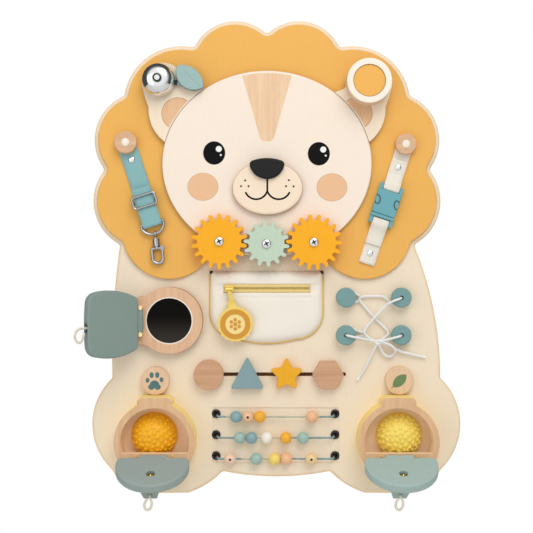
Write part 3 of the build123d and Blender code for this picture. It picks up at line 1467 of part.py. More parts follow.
def paw_door(name, paw_at, tab_shift):
    """A round plate cut straight at its hinge, with a pull block on its outer face."""
    swing = paw_swing(paw_at)
    hinge_half = (PAW_DOOR_R**2 - (PAW_HINGE_DROP - HINGE_EDGE) ** 2) ** 0.5
    taper = degrees(atan2((TAB_W - TAB_END_W) / 2, TAB_T))
    with BuildPart() as door:
        with BuildSketch(swing.offset(plate_back)) as plate:
            with Locations((PAW_HINGE_DROP, 0)):
                Circle(PAW_DOOR_R)
            with Locations((HINGE_EDGE - PAW_DOOR_R, 0)):
                Rectangle(2 * PAW_DOOR_R, 2 * PAW_DOOR_R, mode=Mode.SUBTRACT)
            corners = [(HINGE_EDGE, hinge_half), (HINGE_EDGE, -hinge_half)]
            fillet(corners_at(plate.vertices(), corners), radius=MIRROR_DOOR_HINGE_ROUND)
        extrude(amount=DOOR_T)
        broad = door.faces().sort_by(SortBy.AREA)[-2:]
        rims = [face.outer_wire().edges() for face in broad]
        fillet([edge for rim in rims for edge in rim], radius=DOOR_EDGE)
        with BuildSketch(swing.offset(plate_back)):
            with Locations((DOOR_HOLE_OUT, 0)):
                Circle(DOOR_HOLE_R)
        extrude(amount=DOOR_HOLE_D, mode=Mode.SUBTRACT)
        with BuildSketch(swing.offset(plate_front)):
            with Locations(((TAB_IN + TAB_OUT) / 2, -tab_shift)):
                Rectangle(TAB_OUT - TAB_IN, TAB_W)
        extrude(amount=TAB_T, taper=taper)
        hole_end = place_in(swing, TAB_OUT, -tab_shift, plate_front + ROPE_HOLE_DOWN)
        with BuildSketch(Plane(origin=hole_end, z_dir=-swing.x_dir)):
            Circle(ROPE_HOLE_R)
        extrude(amount=ROPE_HOLE_L, mode=Mode.SUBTRACT)
        knuckle(swing, PAW_KNUCKLE_L)
    save(door.part, name)


paw_box("paw_box_left", PAW_LEFT_AT)
paw_box("paw_box_right", PAW_RIGHT_AT)
paw_door("paw_door_left", PAW_LEFT_AT, 0)
paw_door("paw_door_right", PAW_RIGHT_AT, TAB_RIGHT_SHIFT)

with BuildPart() as hinge_pins:
    hinges = [(mirror_axis, MIRROR_FRONT, (0, 0, 1), MIRROR_KNUCKLE_L)]
    for paw_at in (PAW_LEFT_AT, PAW_RIGHT_AT):
        hinges.append((paw_swing(paw_at).origin, PAW_FRONT, (1, 0, 0), PAW_KNUCKLE_L))
    for axis_at, base, direction, length in hinges:
        middle, run = Vector(axis_at), Vector(direction)
        reach = length / 2 + POST_GAP + POST_R
        for hand in (-1, 1):
            foot = middle + run * hand * reach
            with BuildSketch(front(base, (foot.X, foot.Z))):
                Circle(POST_R)
            extrude(amount=HINGE_LIFT + POST_R)
        with BuildSketch(Plane(origin=middle - run * reach, z_dir=run)):
            Circle(HINGE_ROD_R)
        extrude(amount=2 * reach)

save(hinge_pins.part, "hinge_pins")

with BuildPart() as sensory_balls:
    # a dome is a cap of a larger ball whose middle lies below the board's front
    ball_radius = (BALL_R**2 + BALL_H**2) / (2 * BALL_H)
    for ball_at in (BALL_LEFT_AT, BALL_RIGHT_AT):
        seat = Plane(origin=(ball_at[0], -BOARD_FRONT, ball_at[1]), x_dir=(1, 0, 0),
                     z_dir=(0, 0, 1))
        with BuildSketch(seat):
            with BuildLine():
                mid = degrees(atan2(BALL_R, ball_radius - BALL_H)) / 2
                on_dome = (ball_radius * sin(radians(mid)), ball_radius * cos(radians(mid)))
                crest = (0, -BALL_H)
                ThreePointArc(crest, (on_dome[0], ball_radius - BALL_H - on_dome[1]), (BALL_R, 0))
                Polyline((BALL_R, 0), (0, 0), crest)
            make_face()
        revolve(axis=Axis(seat.origin, (0, 1, 0)))
        middle = Vector(ball_at[0], -BOARD_FRONT + ball_radius - BALL_H, ball_at[1])
        for out, count in NUB_RINGS:
            for step in range(count):
                turn = radians(360 * step / count)
                rise = (ball_radius**2 - out**2) ** 0.5
                way = Vector(out * cos(turn), -rise, out * sin(turn)).normalized()
                foot = middle + way * (ball_radius - NUB_SINK)
                with BuildSketch(Plane(origin=foot, z_dir=way)):
                    Circle(NUB_R)
                extrude(amount=NUB_H + NUB_SINK, taper=NUB_TAPER)

save(sensory_balls.part, "sensory_balls")

# ---- Rope loops of the doors --------------------------------------------

rope_routes = {
    "mirror_door_rope": MIRROR_ROPE,
    "paw_rope_left": [(PAW_LEFT_AT[0] + x, height, z) for x, height, z in PAW_ROPE],
    "paw_rope_right": [
        (PAW_RIGHT_AT[0] + TAB_RIGHT_SHIFT + x, height, z) for x, height, z in PAW_ROPE
    ],
}
for name, route in rope_routes.items():
    with BuildPart() as rope:
        wire_sweep(cord_path(name, route), ROPE_R)
    save(rope.part, name)

# ---- Turning buttons and lacing knobs -----------------------------------

for name, at in (("paw_button", PAW_BUTTON_AT), ("leaf_button", LEAF_BUTTON_AT)):
    with BuildPart() as button:
        with BuildSketch(front(BOARD_FRONT + GAP, at)):
            Circle(TURN_BUTTON_R)
        extrude(amount=TURN_BUTTON_T)
        fillet(front_edges(button), radius=BUTTON_EDGE)
        with BuildSketch(front(BOARD_FRONT + GAP - TURN_STEM_L, at)):
            Circle(TURN_STEM_R)
        extrude(amount=TURN_STEM_L)
    save(button.part, name)

with BuildPart() as lacing_knobs:
    with BuildSketch(front(BOARD_FRONT)):
        with Locations(*lacing_places):
            Circle(LACE_NECK_R)
    extrude(amount=LACE_NECK_T)
    with BuildSketch(front(BOARD_FRONT + LACE_NECK_T)):
        with Locations(*lacing_places):
            Circle(LACE_KNOB_R)
    extrude(amount=LACE_CAP_T)
    fillet(lacing_knobs.faces().group_by(Axis.Y)[0].edges(), radius=BUTTON_EDGE)
    with BuildSketch(front(BOARD_FRONT + LACE_NECK_T)):
        with Locations(*lacing_places[1:]):
            Circle(LACE_HOLE_R)
    extrude(amount=LACE_CAP_T, mode=Mode.SUBTRACT)

save(lacing_knobs.part, "lacing_knobs")

with BuildPart() as lace:
    for name, route in LACE_RUNS.items():
        wire_sweep(cord_path(f"lace {name}", route), LACE_R)
    knot_x, knot_height, knot_z = LACE_KNOT
    with Locations((knot_x, -knot_height, knot_z)):
        Sphere(KNOT_R)

save(lace.part, "lace")

# ---- Shape sliders ------------------------------------------------------


def shape_slider(name, x, outline):
    """A flat shape on a stem through the slot, with the flange that holds it behind."""
    with BuildPart() as slider:
        with BuildSketch(front(SHAPE_BACK, (x, SLOT_Z))):
            add(outline)
        extrude(amount=SHAPE_T)
        fillet(front_edges(slider), radius=SHAPE_EDGE)
        flange_back = BACK_T + (CHANNEL_D - FLANGE_T) / 2
        with BuildSketch(front(flange_back, (x, SLOT_Z))):
            Circle(FLANGE_R)
        extrude(amount=FLANGE_T)
        with BuildSketch(front(flange_back, (x, SLOT_Z))):
            Circle(STEM_R)
        extrude(amount=SHAPE_BACK - flange_back)
    save(slider.part, name)


with BuildSketch() as disc_outline:
    Circle(DISC_R)
with BuildSketch() as triangle_outline:
    with BuildLine():
        Polyline(
            (-TRIANGLE_HALF, TRIANGLE_LOW),
            (TRIANGLE_HALF, TRIANGLE_LOW),
            (0, TRIANGLE_TOP),
            close=True,
        )
    make_face()
    fillet(triangle_outline.vertices(), radius=SHAPE_ROUND)
with BuildSketch() as star_outline:
    with BuildLine():
        star_points = []
        for step in range(10):
            turn = radians(90 + 36 * step)
            reach = STAR_R if step % 2 == 0 else STAR_R * STAR_INNER
            star_points.append((reach * cos(turn), reach * sin(turn)))
        Polyline(*star_points, close=True)
    make_face()
    fillet(star_outline.vertices(), radius=SHAPE_ROUND)
with BuildSketch() as hexagon_outline:
    RegularPolygon(HEXAGON_R, 6)
    fillet(hexagon_outline.vertices(), radius=SHAPE_ROUND)

shape_slider("disc_slider", DISC_X, disc_outline.sketch)
shape_slider("triangle_slider", TRIANGLE_X, triangle_outline.sketch)
shape_slider("star_slider", STAR_X, star_outline.sketch)
shape_slider("hexagon_slider", HEXAGON_X, hexagon_outline.sketch)

# ---- Abacus -------------------------------------------------------------

cord_height = BOARD_FRONT - RECESS_D + CORD_LIFT
cord_inside = BOARD_FRONT - RECESS_D - CORD_IN

with BuildPart() as abacus_cords:
    for row_z in ROW_ZS:
        ends = (CORD_LEFT + CORD_ASIDE, CORD_RIGHT - CORD_ASIDE)
        points = [
            (ends[0], -cord_inside, row_z + CORD_DROP),
            (ends[0], -cord_height, row_z),
            (ends[1], -cord_height, row_z),
            (ends[1], -cord_inside, row_z + CORD_DROP),
        ]
        with BuildLine():
            path = FilletPolyline(*points, radius=CORD_BEND)
        print(f"abacus cord: length {path.length:.1f}, bend radius {CORD_BEND}")
        wire_sweep(path, CORD_R)

save(abacus_cords.part, "abacus_cords")

bead_end = (BEAD_R**2 - BEAD_BORE**2) ** 0.5
for name, (row, bead_xs) in BEADS.items():
    with BuildPart() as beads:
        for x in bead_xs:
            with BuildSketch(front(cord_height, (x, ROW_ZS[row]))):
                with BuildLine():
                    ThreePointArc((-bead_end, BEAD_BORE), (0, BEAD_R), (bead_end, BEAD_BORE))
                    Line((bead_end, BEAD_BORE), (-bead_end, BEAD_BORE))
                make_face()
            revolve(axis=Axis((x, -cord_height, ROW_ZS[row]), (1, 0, 0)))
    save(beads.part, name)
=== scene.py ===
"""Looks of a wooden lion busy board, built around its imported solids.

Every place is written in millimetres from the middle of the board's back: x to
the viewer's right, z up, and a height, which is the distance from the wall. The
studio's own places are in metres.
"""

from __future__ import annotations

import json
import logging
import math
from collections.abc import Callable, Mapping, Sequence
from dataclasses import dataclass, field
from enum import Enum
from typing import Any

import bmesh
import bpy
import numpy as np
from mathutils import Matrix, Vector

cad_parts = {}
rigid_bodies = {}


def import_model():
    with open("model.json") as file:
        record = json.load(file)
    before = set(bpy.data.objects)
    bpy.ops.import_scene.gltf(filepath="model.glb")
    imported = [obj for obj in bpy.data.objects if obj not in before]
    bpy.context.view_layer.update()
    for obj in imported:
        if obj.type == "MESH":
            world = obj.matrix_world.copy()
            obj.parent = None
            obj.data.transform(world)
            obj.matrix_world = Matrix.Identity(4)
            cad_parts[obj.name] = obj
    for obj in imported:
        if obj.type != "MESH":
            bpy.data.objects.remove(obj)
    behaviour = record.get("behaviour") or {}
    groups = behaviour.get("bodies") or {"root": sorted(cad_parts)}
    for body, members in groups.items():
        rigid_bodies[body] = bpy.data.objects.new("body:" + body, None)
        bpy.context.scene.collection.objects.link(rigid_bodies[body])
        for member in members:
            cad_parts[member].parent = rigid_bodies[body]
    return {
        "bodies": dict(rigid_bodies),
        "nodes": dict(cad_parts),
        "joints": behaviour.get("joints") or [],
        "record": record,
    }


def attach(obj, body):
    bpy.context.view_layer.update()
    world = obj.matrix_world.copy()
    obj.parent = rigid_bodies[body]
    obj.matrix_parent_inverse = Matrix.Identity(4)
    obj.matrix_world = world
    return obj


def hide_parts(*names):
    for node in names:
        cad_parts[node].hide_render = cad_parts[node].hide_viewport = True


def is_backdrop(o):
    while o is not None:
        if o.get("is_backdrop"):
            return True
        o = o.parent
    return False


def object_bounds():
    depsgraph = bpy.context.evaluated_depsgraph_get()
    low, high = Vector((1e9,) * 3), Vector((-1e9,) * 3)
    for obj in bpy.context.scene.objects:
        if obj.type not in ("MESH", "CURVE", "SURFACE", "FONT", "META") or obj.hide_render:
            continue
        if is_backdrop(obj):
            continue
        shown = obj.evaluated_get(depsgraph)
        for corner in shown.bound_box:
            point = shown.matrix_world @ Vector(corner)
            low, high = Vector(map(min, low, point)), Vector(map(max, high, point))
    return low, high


LOG = logging.getLogger("busy_board")

MM = 0.001
BOARD = 19.0  # heights of the fronts of the layers
MANE = 23.0
FACE = 28.0
MUZZLE = 35.0
ROOT = "board"

Colour = tuple[float, float, float]
Place = tuple[float, float]
Route = Sequence[tuple[float, float, float]]
Material = bpy.types.Material
Object = bpy.types.Object
Socket = bpy.types.NodeSocket


def spot(x: float, height: float, z: float) -> Vector:
    """A point in metres.

    Args:
        x: Distance right of the middle, in millimetres.
        height: Distance from the wall, in millimetres.
        z: Distance above the middle, in millimetres.

    Returns:
        The point in the frame of the solids.
    """
    return Vector((x * MM, -height * MM, z * MM))


def srgb(red: int, green: int, blue: int) -> Colour:
    """The linear light of a colour given by the usual numbers from 0 to 255."""
    values = []
    for part in (red, green, blue):
        share = part / 255
        values.append(share / 12.92 if share <= 0.04045 else ((share + 0.055) / 1.055) ** 2.4)
    return (values[0], values[1], values[2])


def shade(colour: Colour, by: float) -> Colour:
    """A colour made darker or lighter by a factor."""
    return (colour[0] * by, colour[1] * by, colour[2] * by)


class Grain(Enum):
    """The way that a piece's grain runs."""

    ACROSS = (0.05, 1.0, 1.0)
    UPRIGHT = (1.0, 1.0, 0.05)


class Tint:
    """Named colours of the paints, woods, cloths and metals."""

    CREAM = srgb(246, 229, 203)
    EDGE = srgb(246, 200, 142)
    MANE = srgb(241, 182, 90)
    FACE = srgb(252, 236, 219)
    EAR = srgb(249, 230, 205)
    MUZZLE = srgb(251, 230, 205)
    CHEEK = srgb(240, 194, 154)
    BLACK = srgb(6, 6, 6)
    NOSE = srgb(26, 26, 26)
    WHITE = srgb(250, 250, 248)
    BURNT = srgb(158, 112, 72)
    IVORY_PAINT = srgb(253, 242, 226)
    BAND = srgb(252, 222, 178)
    BEECH = srgb(232, 194, 156)
    BEECH_DARK = srgb(208, 164, 124)
    RECESS = srgb(255, 226, 190)
    # painted light: the slot's inside, paler than its wood, stands in for light in the deep channel
    SLOT_PAINTED_LIGHT = srgb(248, 214, 172)
    PASTEL = srgb(253, 226, 140)
    TEAL = srgb(137, 156, 150)
    # painted light: both paw doors share one teal; the left is a shaded copy, the right a lit copy
    TEAL_LEFT_SHADED = srgb(156, 170, 166)
    TEAL_RIGHT_LIT = srgb(170, 192, 186)
    LEAF = srgb(159, 188, 185)
    WEB_TEAL = srgb(146, 194, 195)
    WEB_CREAM = srgb(250, 243, 228)
    BUCKLE = srgb(108, 170, 180)
    AMBER = srgb(255, 179, 28)
    SAGE = srgb(199, 217, 194)
    KNOB_TEAL = srgb(122, 160, 158)
    TRIANGLE = srgb(136, 164, 168)
    STAR = srgb(244, 176, 36)
    BALL_AMBER = srgb(253, 190, 26)
    BALL_YELLOW = srgb(254, 228, 110)
    DIAL = srgb(243, 182, 88)
    CANVAS = srgb(250, 242, 228)
    PIPING = srgb(242, 204, 128)
    ZIP_TAPE = srgb(252, 224, 146)
    ROPE = srgb(250, 242, 222)
    LACE = srgb(255, 255, 253)
    CORD = srgb(138, 172, 178)
    CORD_CREAM = srgb(240, 226, 186)
    PAW_PRINT = srgb(66, 114, 122)
    LEAF_PRINT = srgb(112, 138, 90)
    STEEL = (0.83, 0.84, 0.85)
    BRASS = srgb(238, 208, 112)
    IVORY = srgb(248, 228, 178)


class NodeTree:
    """A node tree, written as calls."""

    def __init__(self, tree: bpy.types.NodeTree) -> None:
        """Empties the tree."""
        self.tree = tree
        self.tree.nodes.clear()

    def node(
        self,
        kind: str,
        settings: Mapping[str, Any] | None = None,
        inputs: Mapping[str | int, Any] | None = None,
    ) -> bpy.types.Node:
        """Adds a node.

        Args:
            kind: The node's type.
            settings: Its own settings, such as an operation.
            inputs: The values or links of its sockets, by name or number.

        Returns:
            The new node.
        """
        made = self.tree.nodes.new(kind)
        for key, value in (settings or {}).items():
            setattr(made, key, value)
        for key, value in (inputs or {}).items():
            socket = made.inputs[key]
            source = value.socket if isinstance(value, Signal) else value
            if isinstance(source, Socket):
                self.tree.links.new(source, socket)
            elif socket.type == "RGBA":
                socket.default_value = (*value[:3], 1.0)
            else:
                socket.default_value = value
        return made


class Signal:
    """A socket of a material's tree that takes part in arithmetic."""

    def __init__(self, graph: Graph, socket: Socket) -> None:
        """Wraps an output socket of the graph."""
        self.graph = graph
        self.socket = socket

    def __add__(self, other: Signal | float) -> Signal:
        """The sum."""
        return self.graph.math("ADD", self, other)

    def __sub__(self, other: Signal | float) -> Signal:
        """The difference."""
        return self.graph.math("SUBTRACT", self, other)

    def __rsub__(self, other: float) -> Signal:
        """The difference, from a plain number."""
        return self.graph.math("SUBTRACT", other, self)

    def __mul__(self, other: Signal | float) -> Signal:
        """The product."""
        return self.graph.math("MULTIPLY", self, other)

    __rmul__ = __mul__

    def __truediv__(self, other: Signal | float) -> Signal:
        """The quotient."""
        return self.graph.math("DIVIDE", self, other)

    def __abs__(self) -> Signal:
        """The size without its sign."""
        return self.graph.math("ABSOLUTE", self)


class Graph(NodeTree):
    """The node tree of a material or a world, written as expressions."""

    def __init__(self, name: str, kind: str = "materials") -> None:
        """Starts an empty material or world."""
        self.owner = getattr(bpy.data, kind).new(name)
        self.owner.use_nodes = True
        super().__init__(self.owner.node_tree)
        self._place: Signal | None = None

    def math(self, operation: str, *values: Signal | float) -> Signal:
        """The result of a Math node on one, two or three values."""
        made = self.node("ShaderNodeMath", {"operation": operation}, dict(enumerate(values)))
        return Signal(self, made.outputs[0])

    def larger(self, one: Signal, other: Signal | float) -> Signal:
        """The larger of two values."""
        return self.math("MAXIMUM", one, other)

    def stretch(self, vector: Signal, by: tuple[float, float, float]) -> Signal:
        """A vector multiplied by a factor along each axis."""
        made = self.node("ShaderNodeVectorMath", {"operation": "MULTIPLY"}, {0: vector, 1: by})
        return Signal(self, made.outputs[0])

    def place(self) -> Signal:
        """The point on the piece, in millimetres."""
        if self._place is None:
            coords = self.node("ShaderNodeTexCoord").outputs["Object"]
            self._place = self.stretch(Signal(self, coords), (1000.0, 1000.0, 1000.0))
        return self._place

    def fabric(self) -> Signal:
        """The point on the cloth, in millimetres along and across it."""
        coords = self.node("ShaderNodeTexCoord").outputs["UV"]
        return Signal(self, coords)

    def split(self, vector: Signal) -> tuple[Signal, Signal, Signal]:
        """The three numbers of a vector."""
        made = self.node("ShaderNodeSeparateXYZ", inputs={0: vector})
        x, y, z = (Signal(self, out) for out in made.outputs)
        return x, y, z

    def axes(self) -> tuple[Signal, Signal, Signal]:
        """The point's x, y and z, in millimetres."""
        return self.split(self.place())

    def front(self, low: float, high: float) -> Signal:
        """Runs from 0 to 1 as the surface turns to the viewer's side, from -1 to 1."""
        coords = self.node("ShaderNodeTexCoord").outputs["Normal"]
        return self.ease(self.split(Signal(self, coords))[1] * -1.0, low, high)

    def sides(self, low: float, high: float) -> Signal:
        """Runs from 1 to 0 as the surface turns to the viewer's side."""
        return 1.0 - self.front(low, high)

    def noise(self, vector: Signal, scale: float, detail: float = 2.0) -> Signal:
        """Soft noise from 0 to 1."""
        made = self.node(
            "ShaderNodeTexNoise",
            inputs={"Vector": vector, "Scale": scale, "Detail": detail},
        )
        return Signal(self, made.outputs[0])

    def blend(
        self,
        value: Signal,
        start: Signal | float,
        end: Signal | float,
        over: Place = (0.0, 1.0),
        kind: str = "LINEAR",
    ) -> Signal:
        """Runs from one value to another while a signal runs over a range."""
        made = self.node("ShaderNodeMapRange", {"interpolation_type": kind}, {
            "Value": value, "From Min": over[0], "From Max": over[1],
            "To Min": start, "To Max": end,
        })
        return Signal(self, made.outputs[0])

    def ease(self, value: Signal, low: float, high: float) -> Signal:
        """Runs smoothly from 0 at low to 1 at high."""
        return self.blend(value, 0.0, 1.0, (low, high), "SMOOTHSTEP")

    def fade(self, value: Signal, low: float, high: float) -> Signal:
        """Runs smoothly from 1 at low to 0 at high."""
        return 1.0 - self.ease(value, low, high)

    def inside(self, value: Signal, low: float, high: float, soft: float = 0.3) -> Signal:
        """1 where a value lies between two limits, with soft edges."""
        rise = self.ease(value, low - soft, low + soft)
        return rise * self.fade(value, high - soft, high + soft)

    def mix(self, factor: Signal | float, low: Signal | Colour, high: Signal | Colour) -> Signal:
        """A colour between two."""
        made = self.node("ShaderNodeMix", {"data_type": "RGBA"}, {0: factor, 6: low, 7: high})
        return Signal(self, made.outputs[2])

    def height(self) -> Signal:
        """The point's distance from the wall, in millimetres."""
        return self.axes()[1] * -1.0

    def length(self, one: Signal, other: Signal) -> Signal:
        """The length of a flat vector."""
        return self.math("SQRT", one * one + other * other)

    def away(self, at: Place) -> Signal:
        """The distance from a place on the front, in millimetres."""
        x, _, z = self.axes()
        return self.length(x - at[0], z - at[1])

    def oval(self, at: Place, radii: Place, soft: float = 0.3) -> Signal:
        """A painted oval on the front.

        Args:
            at: Its middle.
            radii: Its half width and half height.
            soft: The blur of its edge.

        Returns:
            1 inside it and 0 outside.
        """
        x, _, z = self.axes()
        out = self.length((x - at[0]) / radii[0], (z - at[1]) / radii[1])
        blur = soft / min(radii)
        return self.fade(out, 1.0 - blur, 1.0 + blur)

    def dot(self, at: Place, radius: float, soft: float = 0.3) -> Signal:
        """A painted round dot on the front."""
        return self.oval(at, (radius, radius), soft)

    def stroke(self, start: Place, end: Place, width: float, soft: float = 0.25) -> Signal:
        """A straight painted line with round ends."""
        x, _, z = self.axes()
        run = (end[0] - start[0], end[1] - start[1])
        length = math.hypot(*run)
        way = (run[0] / length, run[1] / length)
        off_x, off_z = x - start[0], z - start[1]
        along = self.math("MINIMUM", self.larger(off_x * way[0] + off_z * way[1], 0.0), length)
        gap = self.length(off_x - along * way[0], off_z - along * way[1])
        return self.fade(gap, width / 2 - soft, width / 2 + soft)

    def curve(self, start: Place, low: Place, end: Place, width: float) -> Signal:
        """A painted smile: the arc through three places, below the line of its ends."""
        middle, radius = circle_through(start, low, end)
        x, _, z = self.axes()
        off = abs(self.away(middle) - radius)
        ring = self.fade(off, width / 2 - 0.25, width / 2 + 0.25)
        slope = (end[1] - start[1]) / (end[0] - start[0])
        line = (x - start[0]) * slope + start[1]
        return ring * self.fade(z - line, -0.2, 0.4)

    def steel(self, dark: Signal, scatter: float) -> Material:
        """Ends the tree in bright steel that is dark and dull where a signal is 1."""
        marks = self.noise(self.place(), 0.8, 4.0)
        colour = self.mix(dark, Tint.STEEL, Tint.NOSE)
        return self.surface(colour, marks * scatter + 0.1, marks, 0.01, metallic=1.0 - dark)

    def surface(
        self,
        colour: Signal | Colour,
        roughness: Signal | float,
        height: Signal | None = None,
        relief: float = 0.0,
        metallic: Signal | float = 0.0,
        plain: Mapping[str, float | Colour] | None = None,
    ) -> Material:
        """Ends the tree in one shader.

        Args:
            colour: The base colour.
            roughness: The roughness.
            height: A height field for the bump, from 0 to 1.
            relief: The bump's depth in millimetres.
            metallic: 1 on metal.
            plain: Other sockets of the shader and their fixed values.

        Returns:
            The finished material.
        """
        inputs: dict[str | int, Any] = {
            "Base Color": colour,
            "Roughness": roughness,
            "Metallic": metallic,
            **(plain or {}),
        }
        if height is not None:
            bump = self.node(
                "ShaderNodeBump",
                inputs={"Strength": 1.0, "Distance": relief * MM, "Height": height},
            )
            inputs["Normal"] = Signal(self, bump.outputs[0])
        shader = self.node("ShaderNodeBsdfPrincipled", inputs=inputs)
        out = self.node("ShaderNodeOutputMaterial")
        self.tree.links.new(shader.outputs[0], out.inputs["Surface"])
        return self.owner


def circle_through(one: Place, two: Place, three: Place) -> tuple[Place, float]:
    """The middle and radius of the circle through three places."""
    rows = np.array(
        [
            [two[0] - one[0], two[1] - one[1]],
            [three[0] - one[0], three[1] - one[1]],
        ]
    )
    squares = 0.5 * (rows**2).sum(axis=1)
    middle = np.linalg.solve(rows, squares)
    radius = float(np.hypot(*middle))
    return (float(middle[0]) + one[0], float(middle[1]) + one[1]), radius


Artwork = Callable[[Graph, Signal], Signal]


def unpainted(_: Graph, base: Signal) -> Signal:
    """The artwork of a piece that has none."""
    return base


@dataclass(frozen=True)
class PaintedWood:
    """Satin paint over close-grained wood, which still shows through a little."""

    name: str
    colour: Colour
    grain: Grain = Grain.UPRIGHT
    depth: float = 0.05
    roughness: float = 0.5
    gloss: float = 0.3

    def material(self, dress: Artwork = unpainted) -> Material:
        """Builds the paint.

        Args:
            dress: Adds painted artwork over the base colour.

        Returns:
            The material.
        """
        g = Graph(self.name)
        fibres = g.noise(g.stretch(g.place(), self.grain.value), 0.9, 3.0)
        clouds = g.noise(g.place(), 0.02, 2.0)
        low, high = (shade(self.colour, 1 + by * self.depth) for by in (-1, 1))
        deep = shade(self.colour, 1 - 2 * self.depth)
        base = g.mix(g.ease(fibres, 0.35, 0.75) * 0.7, g.mix(clouds, low, high), deep)
        rough = fibres * 0.12 + (self.roughness - 0.06)
        plain = {"Specular IOR Level": self.gloss}
        return g.surface(dress(g, base), rough, fibres, 0.03, plain=plain)


@dataclass(frozen=True)
class BareWood:
    """Oiled beech: soft bands, fine fibres and short dark pores along its grain."""

    name: str
    light: Colour = Tint.BEECH
    dark: Colour = Tint.BEECH_DARK
    grain: Grain = Grain.UPRIGHT
    roughness: float = 0.55

    def base(self, g: Graph) -> tuple[Signal, Signal]:
        """The wood's colour and its relief."""
        run = g.stretch(g.place(), self.grain.value)
        bands = g.noise(g.stretch(run, (0.35, 0.35, 0.35)), 0.6, 2.0)
        fibres = g.noise(run, 1.6, 3.0)
        pores = g.ease(g.noise(g.stretch(run, (1.8, 1.8, 1.8)), 1.0, 1.0), 0.62, 0.74)
        colour = g.mix(g.ease(bands, 0.3, 0.7) * 0.55 + fibres * 0.35, self.light, self.dark)
        colour = g.mix(pores * 0.35, colour, shade(self.dark, 0.72))
        return colour, fibres - pores * 0.6

    def material(self, dress: Artwork = unpainted) -> Material:
        """Builds the wood, with painted artwork over it if there is any."""
        g = Graph(self.name)
        colour, relief = self.base(g)
        rough = relief * 0.15 + self.roughness
        plain = {"Specular IOR Level": 0.3}
        return g.surface(dress(g, colour), rough, relief, 0.05, plain=plain)


@dataclass(frozen=True)
class Metal:
    """Polished metal with faint handling marks."""

    name: str
    colour: Colour = Tint.STEEL
    roughness: float = 0.12

    def material(self) -> Material:
        """Builds the metal."""
        g = Graph(self.name)
        marks = g.noise(g.place(), 0.8, 4.0)
        colour = g.mix(marks, shade(self.colour, 0.94), self.colour)
        return g.surface(colour, marks * 0.1 + self.roughness, marks, 0.01, metallic=1.0)


@dataclass(frozen=True)
class Moulded:
    """Moulded plastic or rubber with a fine sparked texture."""

    name: str
    colour: Colour
    roughness: float = 0.42
    relief: float = 0.03
    gloss: float = 0.4

    def material(self, dress: Artwork = unpainted) -> Material:
        """Builds the plastic, with a second colour where it is given."""
        g = Graph(self.name)
        spark = g.noise(g.place(), 2.4, 2.0)
        clouds = g.noise(g.place(), 0.05, 1.0)
        colour = g.mix(clouds, shade(self.colour, 0.96), shade(self.colour, 1.03))
        rough = spark * 0.12 + self.roughness
        plain = {"Specular IOR Level": self.gloss}
        return g.surface(dress(g, colour), rough, spark, self.relief, plain=plain)


@dataclass(frozen=True)
class Woven:
    """Cloth or webbing, with threads along and across its own map."""

    name: str
    colour: Colour
    thread: float = 1.3
    depth: float = 0.14
    relief: float = 0.16

    def material(self, dress: Artwork = unpainted) -> Material:
        """Builds the cloth."""
        g = Graph(self.name)
        along, across, _ = g.split(g.fabric())
        turn = 2 * math.pi / self.thread
        rib = g.math("SINE", along * turn)
        cross = g.math("SINE", across * turn)
        weave = rib * cross * 0.5 + 0.5
        fuzz = g.noise(g.place(), 1.4, 3.0)
        colour = g.mix(weave * 0.7 + fuzz * 0.3, shade(self.colour, 1 - self.depth), self.colour)
        plain = {"Sheen Weight": 0.25, "Sheen Roughness": 0.5}
        return g.surface(dress(g, colour), fuzz * 0.1 + 0.82, weave, self.relief, plain=plain)


@dataclass(frozen=True)
class Twisted:
    """Cotton rope or cord, with fibres that follow its own map."""

    name: str
    colour: Colour
    second: Colour | None = None
    thread: float = 0.7

    def material(self, where: Callable[[Graph], Signal] | None = None) -> Material:
        """Builds the rope.

        Args:
            where: 1 on the stretches that have the second colour.

        Returns:
            The material.
        """
        g = Graph(self.name)
        along, around, _ = g.split(g.fabric())
        slant = g.math("SINE", (along + around * 0.6) * (2 * math.pi / self.thread))
        fuzz = g.noise(g.place(), 2.2, 3.0)
        base: Signal | Colour = self.colour
        if self.second is not None and where is not None:
            base = g.mix(where(g), self.colour, self.second)
        shadow = g.mix(1.0, self.colour, shade(self.colour, 0.72))
        colour = g.mix(g.ease(slant * 0.5 + fuzz, 0.0, 0.7), shadow, base)
        plain = {"Sheen Weight": 0.3, "Sheen Roughness": 0.5}
        return g.surface(colour, fuzz * 0.1 + 0.85, slant * 0.5 + 0.5, 0.12, plain=plain)


def link(obj: Object) -> Object:
    """Puts a new object in the scene."""
    bpy.context.scene.collection.objects.link(obj)
    return obj


def mesh_object(
    name: str,
    points: Sequence[Vector],
    faces: Sequence[Sequence[int]],
    maps: Sequence[Place] | None = None,
) -> Object:
    """A smooth mesh object at the origin.

    Args:
        name: The piece's name.
        points: Its vertices, in metres.
        faces: Its faces, as numbers of vertices.
        maps: A place on the cloth for each vertex, in millimetres.

    Returns:
        The object.
    """
    mesh = bpy.data.meshes.new(name)
    mesh.from_pydata([tuple(p) for p in points], [], [tuple(f) for f in faces])
    if maps is not None:
        layer = mesh.uv_layers.new(name="UVMap")
        for loop in mesh.loops:
            layer.data[loop.index].uv = maps[loop.vertex_index]
    made = bmesh.new()
    made.from_mesh(mesh)
    bmesh.ops.recalc_face_normals(made, faces=made.faces)
    made.to_mesh(mesh)
    made.free()
    for face in mesh.polygons:
        face.use_smooth = True
    return link(bpy.data.objects.new(name, mesh))


